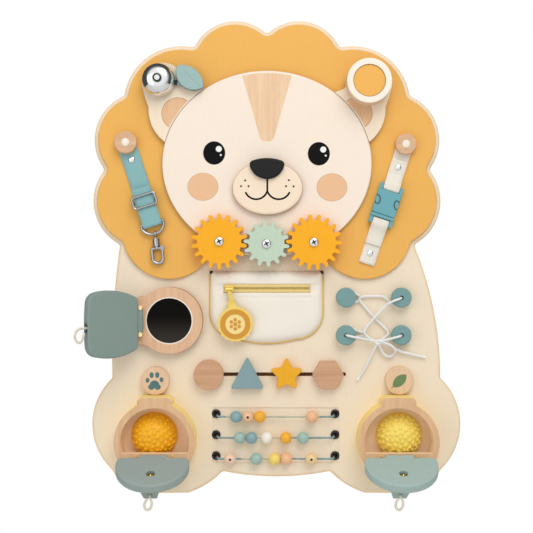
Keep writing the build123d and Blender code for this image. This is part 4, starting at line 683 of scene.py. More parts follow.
def smooth_line(points: Sequence[Vector], steps: int = 10) -> list[Vector]:
    """Points along a NURBS spline of order 3 that has a route as its control points."""
    curve = bpy.data.curves.new("route", "CURVE")
    curve.dimensions = "3D"
    curve.resolution_u = steps
    spline = curve.splines.new("NURBS")
    spline.points.add(len(points) - 1)
    for control, point in zip(spline.points, points):
        control.co = (*point, 1.0)
    spline.order_u = 3
    spline.use_endpoint_u = True
    holder = link(bpy.data.objects.new("route", curve))
    mesh = bpy.data.meshes.new_from_object(holder)
    line = [vertex.co.copy() for vertex in mesh.vertices]
    bpy.data.objects.remove(holder)
    bpy.data.curves.remove(curve)
    bpy.data.meshes.remove(mesh)
    return line


def frames_along(line: Sequence[Vector]) -> list[tuple[Vector, Vector, Vector]]:
    """A tangent and two steady normals at each point of a line."""
    frames = []
    tangent = (line[1] - line[0]).normalized()
    normal = tangent.orthogonal().normalized()
    for number, point in enumerate(line):
        before = line[max(number - 1, 0)]
        after = line[min(number + 1, len(line) - 1)]
        fresh = (after - before).normalized()
        turn = tangent.rotation_difference(fresh)
        normal = (turn @ normal).normalized()
        tangent = fresh
        frames.append((tangent, normal, tangent.cross(normal).normalized()))
    return frames


def tube_faces(rings: int, sides: int, first: int = 0) -> list[list[int]]:
    """The faces of a tube with a cap at each end, by the numbers of its vertices."""
    faces = []
    for low in range(first, first + (rings - 1) * sides, sides):
        for side in range(sides):
            after = (side + 1) % sides
            faces.append([low + side, low + after, low + sides + after, low + sides + side])
    for start in (first, first + (rings - 1) * sides):
        faces.append([start + side for side in range(sides)])
    return faces


@dataclass(frozen=True)
class Strand:
    """How a tube is laid: its radius, and its strands with their twist."""

    radius: float
    strands: int = 1
    pitch: float = 9.0
    sides: int = 10

    def tube(self, name: str, line: Sequence[Vector]) -> Object:
        """A closed tube, or twisted strands, along a line.

        Args:
            name: The piece's name.
            line: Points in metres.

        Returns:
            The object, mapped in millimetres along and around it.
        """
        points: list[Vector] = []
        faces: list[list[int]] = []
        maps: list[Place] = []
        thick = self.radius if self.strands == 1 else self.radius * 0.54
        off = 0.0 if self.strands == 1 else self.radius - thick
        frames = frames_along(line)
        for strand in range(self.strands):
            start = 2 * math.pi * strand / self.strands
            first, run = len(points), 0.0
            for number, (point, (_, normal, binormal)) in enumerate(zip(line, frames)):
                if number:
                    run += (point - line[number - 1]).length / MM
                lay = start + 2 * math.pi * run / self.pitch
                middle = point + (normal * math.cos(lay) + binormal * math.sin(lay)) * off * MM
                for side in range(self.sides):
                    angle = 2 * math.pi * side / self.sides
                    way = normal * math.cos(angle) + binormal * math.sin(angle)
                    points.append(middle + way * thick * MM)
                    maps.append((run, thick * angle))
            faces += tube_faces(len(line), self.sides, first)
        return mesh_object(name, points, faces, maps)


class GeometryTree(NodeTree):
    """A Geometry Nodes tree with named inputs for its sizes."""

    def __init__(self, name: str) -> None:
        """Starts a tree that takes and gives one geometry."""
        super().__init__(bpy.data.node_groups.new(name, "GeometryNodeTree"))
        for way in ("INPUT", "OUTPUT"):
            self.tree.interface.new_socket("Geometry", in_out=way, socket_type="NodeSocketGeometry")
        self.entry = self.tree.nodes.new("NodeGroupInput")
        self.exit = self.tree.nodes.new("NodeGroupOutput")
        self.keys: dict[str, str] = {}

    def size(self, name: str) -> Socket:
        """Adds a named size and gives its socket inside the tree."""
        made = self.tree.interface.new_socket(name, in_out="INPUT", socket_type="NodeSocketFloat")
        self.keys[name] = made.identifier
        return next(out for out in self.entry.outputs if out.identifier == made.identifier)

    def spaced(self, pitch: Socket) -> Socket:
        """Points at a steady pitch along the carrier's line."""
        route = self.node("GeometryNodeMeshToCurve", inputs={0: self.entry.outputs[0]})
        made = self.node(
            "GeometryNodeResampleCurve",
            {"mode": "LENGTH"},
            {"Curve": route.outputs[0], "Length": pitch},
        )
        return made.outputs[0]

    def pointed(self, along: Socket) -> Socket:
        """The turn that puts an instance's z along a vector."""
        kind, settings = "FunctionNodeAlignRotationToVector", {"axis": "Z"}
        return self.node(kind, settings, {"Vector": along}).outputs[0]

    def spheres(
        self,
        points: Socket,
        fineness: tuple[int, int],
        radii: Sequence[Socket],
        turn: Socket | None = None,
    ) -> Socket:
        """A squashed sphere on each point.

        Args:
            points: Where they sit.
            fineness: Segments round each one, and rings.
            radii: The half sizes along x, y and z.
            turn: Their rotation.

        Returns:
            The instances.
        """
        sphere = self.node(
            "GeometryNodeMeshUVSphere",
            inputs={"Segments": fineness[0], "Rings": fineness[1], "Radius": 1.0},
        )
        size = self.node("ShaderNodeCombineXYZ", inputs=dict(enumerate(radii)))
        inputs = {"Points": points, "Instance": sphere.outputs[0], "Scale": size.outputs[0]}
        if turn is not None:
            inputs["Rotation"] = turn
        return self.node("GeometryNodeInstanceOnPoints", inputs=inputs).outputs[0]

    def close(self, geometry: Socket, material: Material) -> None:
        """Ends the tree in Realize Instances and Set Material."""
        real = self.node("GeometryNodeRealizeInstances", inputs={0: geometry})
        dressed = self.node(
            "GeometryNodeSetMaterial", inputs={"Geometry": real.outputs[0], "Material": material}
        )
        self.tree.links.new(dressed.outputs[0], self.exit.inputs[0])

    def make(
        self, name: str, carrier: Object, sizes: Mapping[str, float]
    ) -> Object:
        """Runs the tree on a carrier and keeps the result as a plain mesh.

        Args:
            name: The new piece's name.
            carrier: An object whose mesh the tree works on; it is removed.
            sizes: The value of each named size, in millimetres.

        Returns:
            The piece.
        """
        modifier = carrier.modifiers.new("build", "NODES")
        modifier.node_group = self.tree
        for key, value in sizes.items():
            modifier[self.keys[key]] = value * MM
        carrier.update_tag()
        graph = bpy.context.evaluated_depsgraph_get()
        mesh = bpy.data.meshes.new_from_object(carrier.evaluated_get(graph))
        mesh.name = name
        carrier.modifiers.remove(modifier)
        bpy.data.objects.remove(carrier)
        for face in mesh.polygons:
            face.use_smooth = True
        return link(bpy.data.objects.new(name, mesh))


def points_object(points: Sequence[Vector], joined: bool = False) -> Object:
    """A carrier mesh of bare points, or of one line through them."""
    mesh = bpy.data.meshes.new("carrier")
    edges = [(n, n + 1) for n in range(len(points) - 1)] if joined else []
    mesh.from_pydata([tuple(p) for p in points], edges, [])
    return link(bpy.data.objects.new("carrier", mesh))


def lathe(name: str, profile: Sequence[Place], place: Matrix, sides: int = 32) -> Object:
    """A turned shape.

    Args:
        name: The piece's name.
        profile: Radius and rise of each ring, in millimetres, from the axis to the axis.
        place: Puts the shape, which rises along local z, where it belongs.
        sides: Faces round the axis.

    Returns:
        The object.
    """
    points: list[Vector] = []
    faces: list[list[int]] = []
    rings: list[list[int]] = []
    for radius, rise in profile:
        start = len(points)
        if radius < 1e-6:
            points.append(place @ Vector((0.0, 0.0, rise * MM)))
            rings.append([start])
            continue
        for side in range(sides):
            angle = 2 * math.pi * side / sides
            spin = Vector((radius * math.cos(angle), radius * math.sin(angle), rise)) * MM
            points.append(place @ spin)
        rings.append(list(range(start, start + sides)))
    for low, high in zip(rings, rings[1:]):
        for side in range(sides):
            after = (side + 1) % sides
            ring = [low[side % len(low)], low[after % len(low)]]
            ring += [high[after % len(high)], high[side % len(high)]]
            faces.append(list(dict.fromkeys(ring)))
    return mesh_object(name, points, faces)


def facing_viewer(x: float, height: float, z: float) -> Matrix:
    """A place on the front whose local z points at the viewer."""
    return Matrix.Translation(spot(x, height, z)) @ Matrix.Rotation(math.radians(90), 4, "X")


def join(name: str, pieces: Sequence[Object]) -> Object:
    """One mesh object from several that share a material."""
    made = bmesh.new()
    for piece in pieces:
        made.from_mesh(piece.data)
        bpy.data.objects.remove(piece)
    mesh = bpy.data.meshes.new(name)
    made.to_mesh(mesh)
    made.free()
    return link(bpy.data.objects.new(name, mesh))


def finish_piece(
    obj: Object,
    material: Material,
    body: str,
    instead_of: Sequence[str] = (),
) -> Object:
    """Gives a piece its material and body, and hides the solids that it stands for.

    Args:
        obj: The piece.
        material: What it is made of.
        body: The body that it rides on.
        instead_of: The solids that it stands for.

    Returns:
        The same piece.
    """
    obj.data.materials.clear()
    obj.data.materials.append(material)
    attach(obj, body)
    if instead_of:
        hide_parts(*instead_of)
    LOG.info("piece %s rides on %s", obj.name, body)
    return obj


class Frame:
    """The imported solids, which keep their shape and get their finish here."""

    def __init__(self) -> None:
        """Loads the solids."""
        self.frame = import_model()

    def dress(self, material: Material, *nodes: str) -> None:
        """Puts a material on solids."""
        for node in nodes:
            for holder in self.frame["nodes"][node].material_slots:
                holder.material = material
            LOG.info("solid %s dressed in %s", node, material.name)


@dataclass
class Relief:
    """The board, the mane, the face and what is let into them or painted on them."""

    eyes: tuple[Place, Place] = ((-55.0, 108.2), (54.0, 107.4))
    eye_radii: Place = (11.5, 12.2)
    glints: tuple[Place, Place] = ((-50.2, 112.4), (58.6, 111.8))
    small_glints: tuple[Place, Place] = ((-48.1, 106.1), (61.2, 105.5))
    cheeks: tuple[Place, Place] = ((-66.8, 73.0), (67.6, 72.4))
    cheek_radii: Place = (15.5, 14.0)
    nose_low: float = 80.0
    lip: Place = (0.33, 68.3)
    smile: tuple[tuple[Place, Place], ...] = (
        ((-10.95, 59.6), (-21.9, 66.3)),
        ((11.6, 59.6), (23.1, 66.3)),
    )
    whiskers: tuple[Place, ...] = (
        (-22.6, 79.0), (-26.9, 73.1), (-19.1, 73.1), (22.6, 79.3), (19.7, 73.1), (27.5, 72.9),
    )
    inner_ear: Place = (93.1, 149.3)
    inner_ear_r: float = 16.8
    ink: float = 2.0
    round_over: float = 0.3  # below the front, where the edge's bare wood begins
    ply: float = 2.6  # thickness
    slot_x: Place = (-71.5, 84.5)
    slot_z: Place = (-125.8, -120.6)
    recess_x: Place = (-58.5, 77.0)  # of the abacus
    recess_z: Place = (-217.0, -157.0)
    recess_floor: float = 17.2
    paws: tuple[Place, Place] = ((-115.5, -190.9), (135.4, -190.9))
    paw_r: float = 35.5
    ears_from: float = 60.0  # distance from the middle, beyond the forehead's wedge
    wedge: tuple[Place, Place] = ((6.4, 120.6), (28.2, 194.0))  # its right side

    def edge(self, g: Graph, base: Signal) -> Signal:
        """The board's round edge in bare wood, with its plies, and the slot's inside painted paler,
        as painted light against the shade in its deep channel.
        """
        x, _, z = g.axes()
        height = g.height()
        plies = g.ease(g.math("SINE", height * (2 * math.pi / self.ply)), -0.3, 0.3)
        wood = g.mix(plies, shade(Tint.EDGE, 0.93), Tint.EDGE)
        top_ply = BOARD - self.ply
        wood = g.mix(g.ease(height, top_ply, top_ply + 1.0), wood, Tint.BAND)
        low = g.fade(height, BOARD - self.round_over - 0.3, BOARD - self.round_over + 0.15)
        recess = g.inside(x, *self.recess_x) * g.inside(z, *self.recess_z)
        floor = recess * g.ease(height, self.recess_floor, self.recess_floor + 0.4)
        colour = g.mix(low * (1.0 - floor), base, wood)
        slot = g.inside(z, *self.slot_z) * g.inside(x, *self.slot_x)
        deep = g.fade(height, BOARD - 0.5, BOARD - 0.2)
        for paw in self.paws:
            colour = g.mix(g.dot(paw, self.paw_r), colour, Tint.RECESS)
        # painted light: the slot's deep inside gets a paler colour in place of its shade
        return g.mix(slot * deep, colour, Tint.SLOT_PAINTED_LIGHT)

    def back_face(self, g: Graph, base: Signal) -> Signal:
        """Pale birch over the broad back, and the plies' colour on the sides."""
        broad = g.sides(-0.8, -0.5)
        return g.mix(broad * 0.65, base, Tint.IVORY_PAINT)

    def cut_side(self, g: Graph, base: Signal) -> Signal:
        """The paint of a layer, with the scorched side that the laser leaves."""
        return g.mix(g.sides(0.2, 0.75), base, Tint.BURNT)

    def mane_paint(self, g: Graph, base: Signal) -> Signal:
        """The mane's paint, deeper on its narrow side."""
        return g.mix(g.sides(0.2, 0.7), base, shade(Tint.MANE, 0.62))

    def inlay_line(self, g: Graph, base: Signal) -> Signal:
        """The scorched line along the inlays' outlines, which the laser leaves."""
        x, _, z = g.axes()
        out = g.length(abs(x) - self.inner_ear[0], z - self.inner_ear[1])
        ear = g.ease(out, self.inner_ear_r - 0.9, self.inner_ear_r - 0.2)
        ear = ear * g.fade(out, self.inner_ear_r + 1.0, self.inner_ear_r + 2.0)
        ears = g.ease(abs(x), self.ears_from, self.ears_from + 2.0)
        line = ear * ears
        for hand in (-1, 1):
            low, high = ((hand * x_out, z_out) for x_out, z_out in self.wedge)
            line = g.larger(line, g.stroke(low, high, 0.9) * 0.6)
        deeper = g.mix(ears * 0.5, base, srgb(226, 170, 122))
        return g.mix(line * 0.8, deeper, Tint.BURNT)

    def face_paint(self, g: Graph, base: Signal) -> Signal:
        """The eyes and the cheeks."""
        front = g.front(0.5, 0.8)
        colour = self.cut_side(g, base)
        for cheek in self.cheeks:
            around = (self.cheek_radii[0] + 0.5, self.cheek_radii[1] + 0.5)
            colour = g.mix(g.oval(cheek, around, 0.3) * front, colour, shade(Tint.CHEEK, 0.72))
            colour = g.mix(g.oval(cheek, self.cheek_radii, 0.4) * front, colour, Tint.CHEEK)
        for eye, glint, small in zip(self.eyes, self.glints, self.small_glints):
            colour = g.mix(g.oval(eye, self.eye_radii) * front, colour, Tint.BLACK)
            shine = g.larger(g.dot(glint, 3.1), g.dot(small, 1.0))
            colour = g.mix(shine * front, colour, Tint.WHITE)
        return colour

    def muzzle_paint(self, g: Graph, base: Signal) -> Signal:
        """The mouth and the whisker dots, and the muzzle's warmer paint."""
        raised = g.ease(g.height(), FACE + 0.3, FACE + 0.6)
        colour = self.cut_side(g, g.mix(raised, base, Tint.MUZZLE))
        ink = g.stroke((self.lip[0], self.nose_low), self.lip, self.ink)
        for low, end in self.smile:
            ink = g.larger(ink, g.curve(self.lip, low, end, self.ink))
            ink = g.larger(ink, g.dot(end, self.ink / 2))
        for dot in self.whiskers:
            ink = g.larger(ink, g.dot(dot, 1.05, 0.3))
        return g.mix(ink * g.ease(g.height(), MUZZLE - 1.0, MUZZLE - 0.5), colour, Tint.BLACK)

    def build(self, frame: Frame) -> None:
        """Dresses the layers."""
        board = PaintedWood("board_lacquer", Tint.CREAM, depth=0.02, roughness=0.55)
        frame.dress(board.material(self.edge), "main_board")
        back = BareWood("back_ply", Tint.EDGE, shade(Tint.EDGE, 0.85))
        frame.dress(back.material(self.back_face), "back_panel")
        mane = PaintedWood("mane_paint", Tint.MANE, depth=0.015)
        frame.dress(mane.material(self.mane_paint), "mane_panel")
        face = PaintedWood("face_paint", Tint.FACE, depth=0.012, gloss=0.1)
        frame.dress(face.material(self.face_paint), "face_panel")
        ears = PaintedWood("ear_paint", Tint.EAR, depth=0.02, gloss=0.1)
        frame.dress(ears.material(self.muzzle_paint), "ears_and_muzzle")
        inlay = BareWood("inlay_beech", srgb(248, 216, 180), srgb(232, 190, 148))
        frame.dress(inlay.material(self.inlay_line), "beech_inlays")
        frame.dress(Moulded("nose_lacquer", Tint.NOSE, 0.5, 0.02, gloss=0.2).material(), "nose")


@dataclass
class Bell:
    """The bell on the left ear, and its leaf."""

    at: Place = (-112.5, 183.3)
    ring: Place = (2.7, 5.0)  # radii of the rubber washer round the nut's crown
    dome_top: float = 46.6
    vein: tuple[Place, Place] = ((-68.8, 176.2), (-85.3, 192.0))
    arm_right: float = -93.0  # where the striker's arm meets the leaf
    arm_front: float = 32.6

    def leaf_paint(self, g: Graph, base: Signal) -> Signal:
        """The leaf's paint, with a fine vein, sides darkened as painted shade, and the striker arm
        painted near-black as painted shadow.
        """
        vein = g.stroke(*self.vein, 0.5, 0.3)
        colour = g.mix(vein * 0.7, base, shade(Tint.LEAF, 0.62))
        # painted shade: a darker copy of the leaf's paint on its sides
        colour = g.mix(g.sides(0.2, 0.7), colour, shade(Tint.LEAF, 0.45))
        x, _, _ = g.axes()
        # painted shadow: the striker arm beside the bell is painted near-black
        arm_shadow = g.fade(x, self.arm_right - 0.5, self.arm_right + 0.5)
        arm_shadow = arm_shadow * g.fade(g.height(), self.arm_front - 0.2, self.arm_front + 0.2)
        return g.mix(arm_shadow, colour, Tint.NOSE)

    def nut(self) -> Material:
        """Chrome with the black rubber washer that shows round the nut's crown."""
        g = Graph("bell_nut")
        washer = g.inside(g.away(self.at), *self.ring, 0.2)
        return g.steel(washer * g.ease(g.height(), self.dome_top, self.dome_top + 0.1), 0.06)

    def build(self, frame: Frame) -> None:
        """Dresses the bell."""
        frame.dress(Metal("bell_chrome", roughness=0.07).material(), "bell_dome")
        frame.dress(self.nut(), "bell_post")
        leaf = PaintedWood("leaf_paint", Tint.LEAF, depth=0.02)
        frame.dress(leaf.material(self.leaf_paint), "bell_lever")


@dataclass
class Knob:
    """The turning knob on the right ear."""

    at: Place = (105.0, 180.5)
    inlay_r: float = 16.5
    inlay_floor: float = 47.3

    side: Colour = srgb(226, 198, 164)

    def dial_paint(self, g: Graph, base: Signal) -> Signal:
        """The dial's amber disc with a scorched line round it, and its beige wall."""
        top = g.ease(g.height(), self.inlay_floor - 2, self.inlay_floor - 1)
        wall = g.sides(0.3, 0.8)
        colour = g.mix(wall, base, self.side)
        colour = g.mix(g.dot(self.at, self.inlay_r + 0.2) * top, colour, Tint.BURNT)
        return g.mix(g.dot(self.at, self.inlay_r - 0.5) * top, colour, Tint.DIAL)

    def build(self, frame: Frame) -> None:
        """Dresses the knob."""
        dial = PaintedWood("knob_paint", Tint.IVORY_PAINT, depth=0.02)
        frame.dress(dial.material(self.dial_paint), "knob_dial")
        frame.dress(PaintedWood("knob_base_paint", self.side, depth=0.03).material(), "knob_base")


@dataclass
class Webbing:
    """A strap: flat webbing laid along a route, seen from its edge."""

    name: str
    node: str
    body: str
    at: Place
    tilt: float
    width: float
    slot: str
    side_view: Sequence[Place]  # distances down the strap and heights
    thickness: float = 1.4
    stitches: Sequence[tuple[float, float]] = ()  # distance down the strap and height

    def point(self, s: float, height: float, across: float) -> Vector:
        """A point of the strap, by its distance down it, its height and its place across."""
        turn = math.radians(self.tilt)
        x = self.at[0] + s * math.sin(turn) + across * math.cos(turn)
        z = self.at[1] - s * math.cos(turn) + across * math.sin(turn)
        return spot(x, height, z)

    def ribbon(self) -> Object:
        """The webbing's mesh: soft edges, a slight crown and its own map."""
        flat = smooth_line([Vector((s * MM, h * MM, 0.0)) for s, h in self.side_view], 8)
        centre = [(p.x / MM, p.y / MM) for p in flat]
        half, thin = self.width / 2, self.thickness / 2
        loop = [
            (-half, 0.0), (-half + 0.3, thin * 0.8), (-half * 0.5, thin), (0.0, thin),
            (half * 0.5, thin), (half - 0.3, thin * 0.8), (half, 0.0), (half - 0.3, -thin * 0.8),
            (half * 0.5, -thin), (0.0, -thin), (-half * 0.5, -thin), (-half + 0.3, -thin * 0.8),
        ]
        points: list[Vector] = []
        maps: list[Place] = []
        run = 0.0
        for number, (s, h) in enumerate(centre):
            before = centre[max(number - 1, 0)]
            after = centre[min(number + 1, len(centre) - 1)]
            way = (after[0] - before[0], after[1] - before[1])
            size = math.hypot(*way) or 1.0
            out = (-way[1] / size, way[0] / size)
            if number:
                run += math.hypot(s - before[0], h - before[1])
            ripple = 0.12 * math.sin(run * 0.55)
            for across, lift in loop:
                lifted = lift + ripple * (1 - (across / half) ** 2) * 0.5
                points.append(self.point(s + out[0] * lifted, h + out[1] * lifted, across))
                maps.append((run, across))
        return mesh_object(self.name, points, tube_faces(len(centre), len(loop)), maps)

    def seam(self, thread: Material) -> None:
        """Rows of stitches across the strap."""
        if not self.stitches:
            return
        inner = self.width / 2 - 1.6
        for number, (s, height) in enumerate(self.stitches):
            ends = [self.point(s, height, -inner), self.point(s, height, inner)]
            row = Stitching().row(f"{self.name}_seam_{number}", ends, thread)
            finish_piece(row, thread, self.body)

    def build(self, web: Material, thread: Material) -> None:
        """Makes the strap in place of its plain solid."""
        finish_piece(self.ribbon(), web, self.body, [self.node])
        self.seam(thread)


@dataclass(frozen=True)
class Stitching:
    """Running stitches, one rounded thread after another along a line."""

    pitch: float = 2.1
    thread: float = 0.28
    shown: float = 0.36  # half a stitch's length, as a share of the pitch

    def row(
        self, name: str, line: Sequence[Vector], material: Material
    ) -> Object:
        """Sews along a line.

        Args:
            name: The row's name.
            line: Points in metres, on the cloth.
            material: The thread.

        Returns:
            The row of stitches.
        """
        tree = GeometryTree(f"{name}_tree")
        pitch, radius, length = (tree.size(key) for key in ("Pitch", "Thread", "Length"))
        turn = tree.pointed(tree.node("GeometryNodeInputTangent").outputs[0])
        sewn = tree.spheres(tree.spaced(pitch), (8, 6), (radius, radius, length), turn)
        tree.close(sewn, material)
        sizes = {"Pitch": self.pitch, "Thread": self.thread, "Length": self.pitch * self.shown}
        return tree.make(name, points_object(line, joined=True), sizes)


@dataclass
class Straps:
    """Both straps with their buttons, rivets, clips and buckle."""

    left_at: Place = (-147.1, 119.1)
    right_at: Place = (144.5, 117.2)
    tilt: float = 18.0
    left_width: float = 20.0
    right_width: float = 17.0
    web_low: float = 24.1  # heights of the webbing on the board, folded over and sewn down
    web_high: float = 30.1
    flap: float = 25.7
    seam: float = 26.5
    left_rivet_s: float = 18.6
    right_rivet_s: float = 25.2
    tail_rivet_s: float = 119.2
    rivet_r: float = 3.4
    rivet_rise: float = 1.5
    plug_r: float = 4.2
    button_top: float = 31.8
    latch_at: Place = (63.5, 10.6)  # along the right strap, and out from its middle line
    latch_radii: Place = (3.5, 5.2)
    latch_shadow_width: float = 1.3

    def left(self) -> Webbing:
        """The teal strap, folded through the ring and lying on itself."""
        low, high = self.web_low, self.web_high
        route = [
            (-6.5, low), (0.0, low), (24.0, low), (60.0, low), (84.0, low), (91.0, low),
            (91.4, 27.1), (91.0, high), (84.0, high), (74.0, high), (60.0, high), (50.0, high),
        ]
        return Webbing(
            "left_webbing", "strap_left", ROOT, self.left_at, self.tilt, self.left_width,
            "web_teal", route,
        )

    def right(self) -> Webbing:
        """The cream strap, folded round the buckle's bar and sewn down."""
        low, high, flap = self.web_low, self.web_high, self.flap
        route = [
            (-6.5, low), (0.0, low), (20.0, low), (40.0, low), (47.5, low), (50.9, low),
            (50.9, high), (47.5, high), (44.0, 30.0), (38.0, 26.6), (33.0, flap), (28.0, flap),
            (17.0, flap),
        ]
        return Webbing(
            "right_webbing", "strap_right", ROOT, self.right_at, -self.tilt, self.right_width,
            "web_cream", route, stitches=[(20.0, self.seam), (31.0, self.seam)],
        )

    def tail(self) -> Webbing:
        """The cream tail, folded round the plug's bar and sewn down."""
        low, high, flap = self.web_low, self.web_high, self.flap
        route = [
            (131.0, low), (120.0, low), (105.0, low), (91.0, low), (85.4, low), (82.0, low),
            (82.0, high), (85.4, high), (89.0, 30.0), (95.0, 26.6), (100.0, flap), (104.0, flap),
            (110.0, flap),
        ]
        return Webbing(
            "right_tail_webbing", "strap_right_tail", "buckle_male", self.right_at, -self.tilt,
            self.right_width, "web_cream", route,
            stitches=[(100.0, self.seam), (107.5, self.seam)],
        )

    def rivets(self, steel: Material) -> None:
        """Domed rivets through the webbing, on flat washers."""
        on_web, on_flap = self.web_low + 0.7, self.flap + 0.7
        seats = {
            ROOT: [
                self.left().point(self.left_rivet_s, on_web, 0.0),
                self.right().point(self.right_rivet_s, on_flap, 0.0),
            ],
            "buckle_male": [self.tail().point(self.tail_rivet_s, on_web, 0.0)],
        }
        for body, places in seats.items():
            tree = GeometryTree(f"rivet_tree_{body}")
            width, rise = tree.size("Width"), tree.size("Rise")
            domes = tree.spheres(tree.entry.outputs[0], (28, 14), (width, rise, width))
            tree.close(domes, steel)
            sizes = {"Width": self.rivet_r, "Rise": self.rivet_rise}
            made = tree.make(f"rivets_{body}", points_object(places), sizes)
            finish_piece(made, steel, body)

    def plugs(self) -> None:
        """Pale wooden plugs in the middle of the strap buttons."""
        pale = BareWood("plug_wood", srgb(255, 250, 238), srgb(246, 228, 204)).material()
        radius = self.plug_r
        profile = [(0.0, -0.4), (radius, -0.4), (radius, 0.2), (radius - 0.5, 0.7), (0.0, 0.9)]
        plugs = [
            lathe("plug", profile, facing_viewer(x, self.button_top, z))
            for x, z in (self.left_at, self.right_at)
        ]
        finish_piece(join("strap_button_plugs", plugs), pale, ROOT)

    def buckle_paint(self, g: Graph, base: Signal) -> Signal:
        """Painted shadow: dark oval lines where the gaps round the latches at both sides of the
        buckle's socket fall into shade.
        """
        tilt = math.radians(self.tilt)
        down, out = self.latch_at
        narrow = (self.latch_radii[0] - self.latch_shadow_width, self.latch_radii[1] - self.latch_shadow_width)
        colour = base
        for across in (-out, out):
            x = self.right_at[0] - down * math.sin(tilt) + across * math.cos(tilt)
            z = self.right_at[1] - down * math.cos(tilt) - across * math.sin(tilt)
            # painted shadow: a dark ring stands in for the shaded gap round each latch
            gap = g.oval((x, z), self.latch_radii) * (1.0 - g.oval((x, z), narrow))
            colour = g.mix(gap * g.front(0.5, 0.8), colour, shade(Tint.BUCKLE, 0.16))
        return colour

    def build(self, frame: Frame) -> None:
        """Makes and dresses both straps."""
        teal = Woven("teal_webbing", Tint.WEB_TEAL).material()
        cream = Woven("cream_webbing", Tint.WEB_CREAM).material()
        thread = Woven("cream_thread", shade(Tint.WEB_CREAM, 0.9), thread=0.5).material()
        self.left().build(teal, thread)
        self.right().build(cream, thread)
        self.tail().build(cream, thread)
        steel = Metal("buckle_steel", (0.42, 0.43, 0.45), 0.16).material()
        self.rivets(Metal("rivet_steel", roughness=0.08).material())
        self.plugs()
        frame.dress(BareWood("button_beech", grain=Grain.ACROSS).material(), "strap_buttons")
        frame.dress(steel, "tri_glide", "d_ring", "snap_body", "snap_gate")
        socket = Moulded("socket_plastic", Tint.BUCKLE)
        frame.dress(socket.material(self.buckle_paint), "buckle_female")
        frame.dress(Moulded("plug_plastic", Tint.BUCKLE).material(), "buckle_male")


@dataclass
class Gears:
    """The three gears and the cross-headed screws that hold them."""

    places: tuple[Place, ...] = ((-49.441, 15.9), (-0.5, 13.5), (48.474, 15.1))
    shaft_r: float = 3.0
    shaft_back: float = 12.0
    washer_r: float = 6.5
    washer: Place = (28.0, 29.6)  # heights of its back and front
    head_r: float = 4.8
    head_back: float = 38.4
    head_t: float = 2.4
    slot_l: float = 5.6
    slot_w: float = 1.3
    slot_d: float = 1.3
    slot_turn: float = 28.0  # degrees
    slot_reach: float = 3.0

    def screw(self, place: Place) -> Object:
        """One screw: its shaft and washer, and a domed head with a cross cut into it."""
        back, head, shaft = self.head_back, self.head_r, self.shaft_r
        low, high = self.washer
        profile = [
            (0.0, self.shaft_back), (shaft, self.shaft_back), (shaft, low), (self.washer_r, low),
            (self.washer_r, high), (shaft, high), (shaft, back), (head, back),
            (head, back + 0.8), (head - 0.4, back + 1.5), (head - 1.3, back + 2.0),
            (head - 2.6, back + self.head_t - 0.1), (0.0, back + self.head_t),
        ]
        seat = facing_viewer(place[0], 0.0, place[1])
        head = lathe("screw", profile, seat, sides=48)
        for quarter in (0, 1):
            cutter = self.cutter(seat, quarter)
            cut = head.modifiers.new("cross", "BOOLEAN")
            cut.object, cut.operation, cut.solver = cutter, "DIFFERENCE", "EXACT"
            graph = bpy.context.evaluated_depsgraph_get()
            mesh = bpy.data.meshes.new_from_object(head.evaluated_get(graph))
            head.modifiers.remove(cut)
            head.data = mesh
            bpy.data.objects.remove(cutter)
        return head

    def screw_steel(self) -> Material:
        """Bright steel, painted near-black down in the heads' crosses as painted shade."""
        g = Graph("screw_steel")
        heads = g.dot(self.places[0], self.slot_reach)
        for place in self.places[1:]:
            heads = g.larger(heads, g.dot(place, self.slot_reach))
        top = self.head_back + self.head_t
        # painted shade: near-black, dull steel inside the cross recesses
        cross_shade = heads * g.ease(g.height(), top - 2.0, top - 1.8)
        return g.steel(cross_shade * g.fade(g.height(), top - 0.7, top - 0.3), 0.08)

    def cutter(self, seat: Matrix, quarter: int) -> Object:
        """A block for one slot of the cross, turned by quarters from a slant."""
        made = bmesh.new()
        bmesh.ops.create_cube(made, size=1.0)
        block = Matrix.Diagonal((self.slot_l * MM, self.slot_w * MM, 2 * self.slot_d * MM, 1.0))
        turn = Matrix.Rotation(math.radians(self.slot_turn + 90 * quarter), 4, "Z")
        lift = Matrix.Translation((0.0, 0.0, (self.head_back + self.head_t) * MM))
        bmesh.ops.transform(made, matrix=seat @ lift @ turn @ block, verts=made.verts)
        mesh = bpy.data.meshes.new("cutter")
        made.to_mesh(mesh)
        made.free()
        return link(bpy.data.objects.new("cutter", mesh))

    def build(self, frame: Frame) -> None:
        """Dresses the gears and makes the screws."""
        amber = PaintedWood("gear_amber_paint", Tint.AMBER, depth=0.03, roughness=0.48)
        sage = PaintedWood("gear_sage_paint", Tint.SAGE, depth=0.03, roughness=0.48)
        frame.dress(amber.material(), "gear_left", "gear_right")
        frame.dress(sage.material(), "gear_middle")
        screws = join("gear_screw_set", [self.screw(place) for place in self.places])
        finish_piece(screws, self.screw_steel(), ROOT, ["gear_screws"])


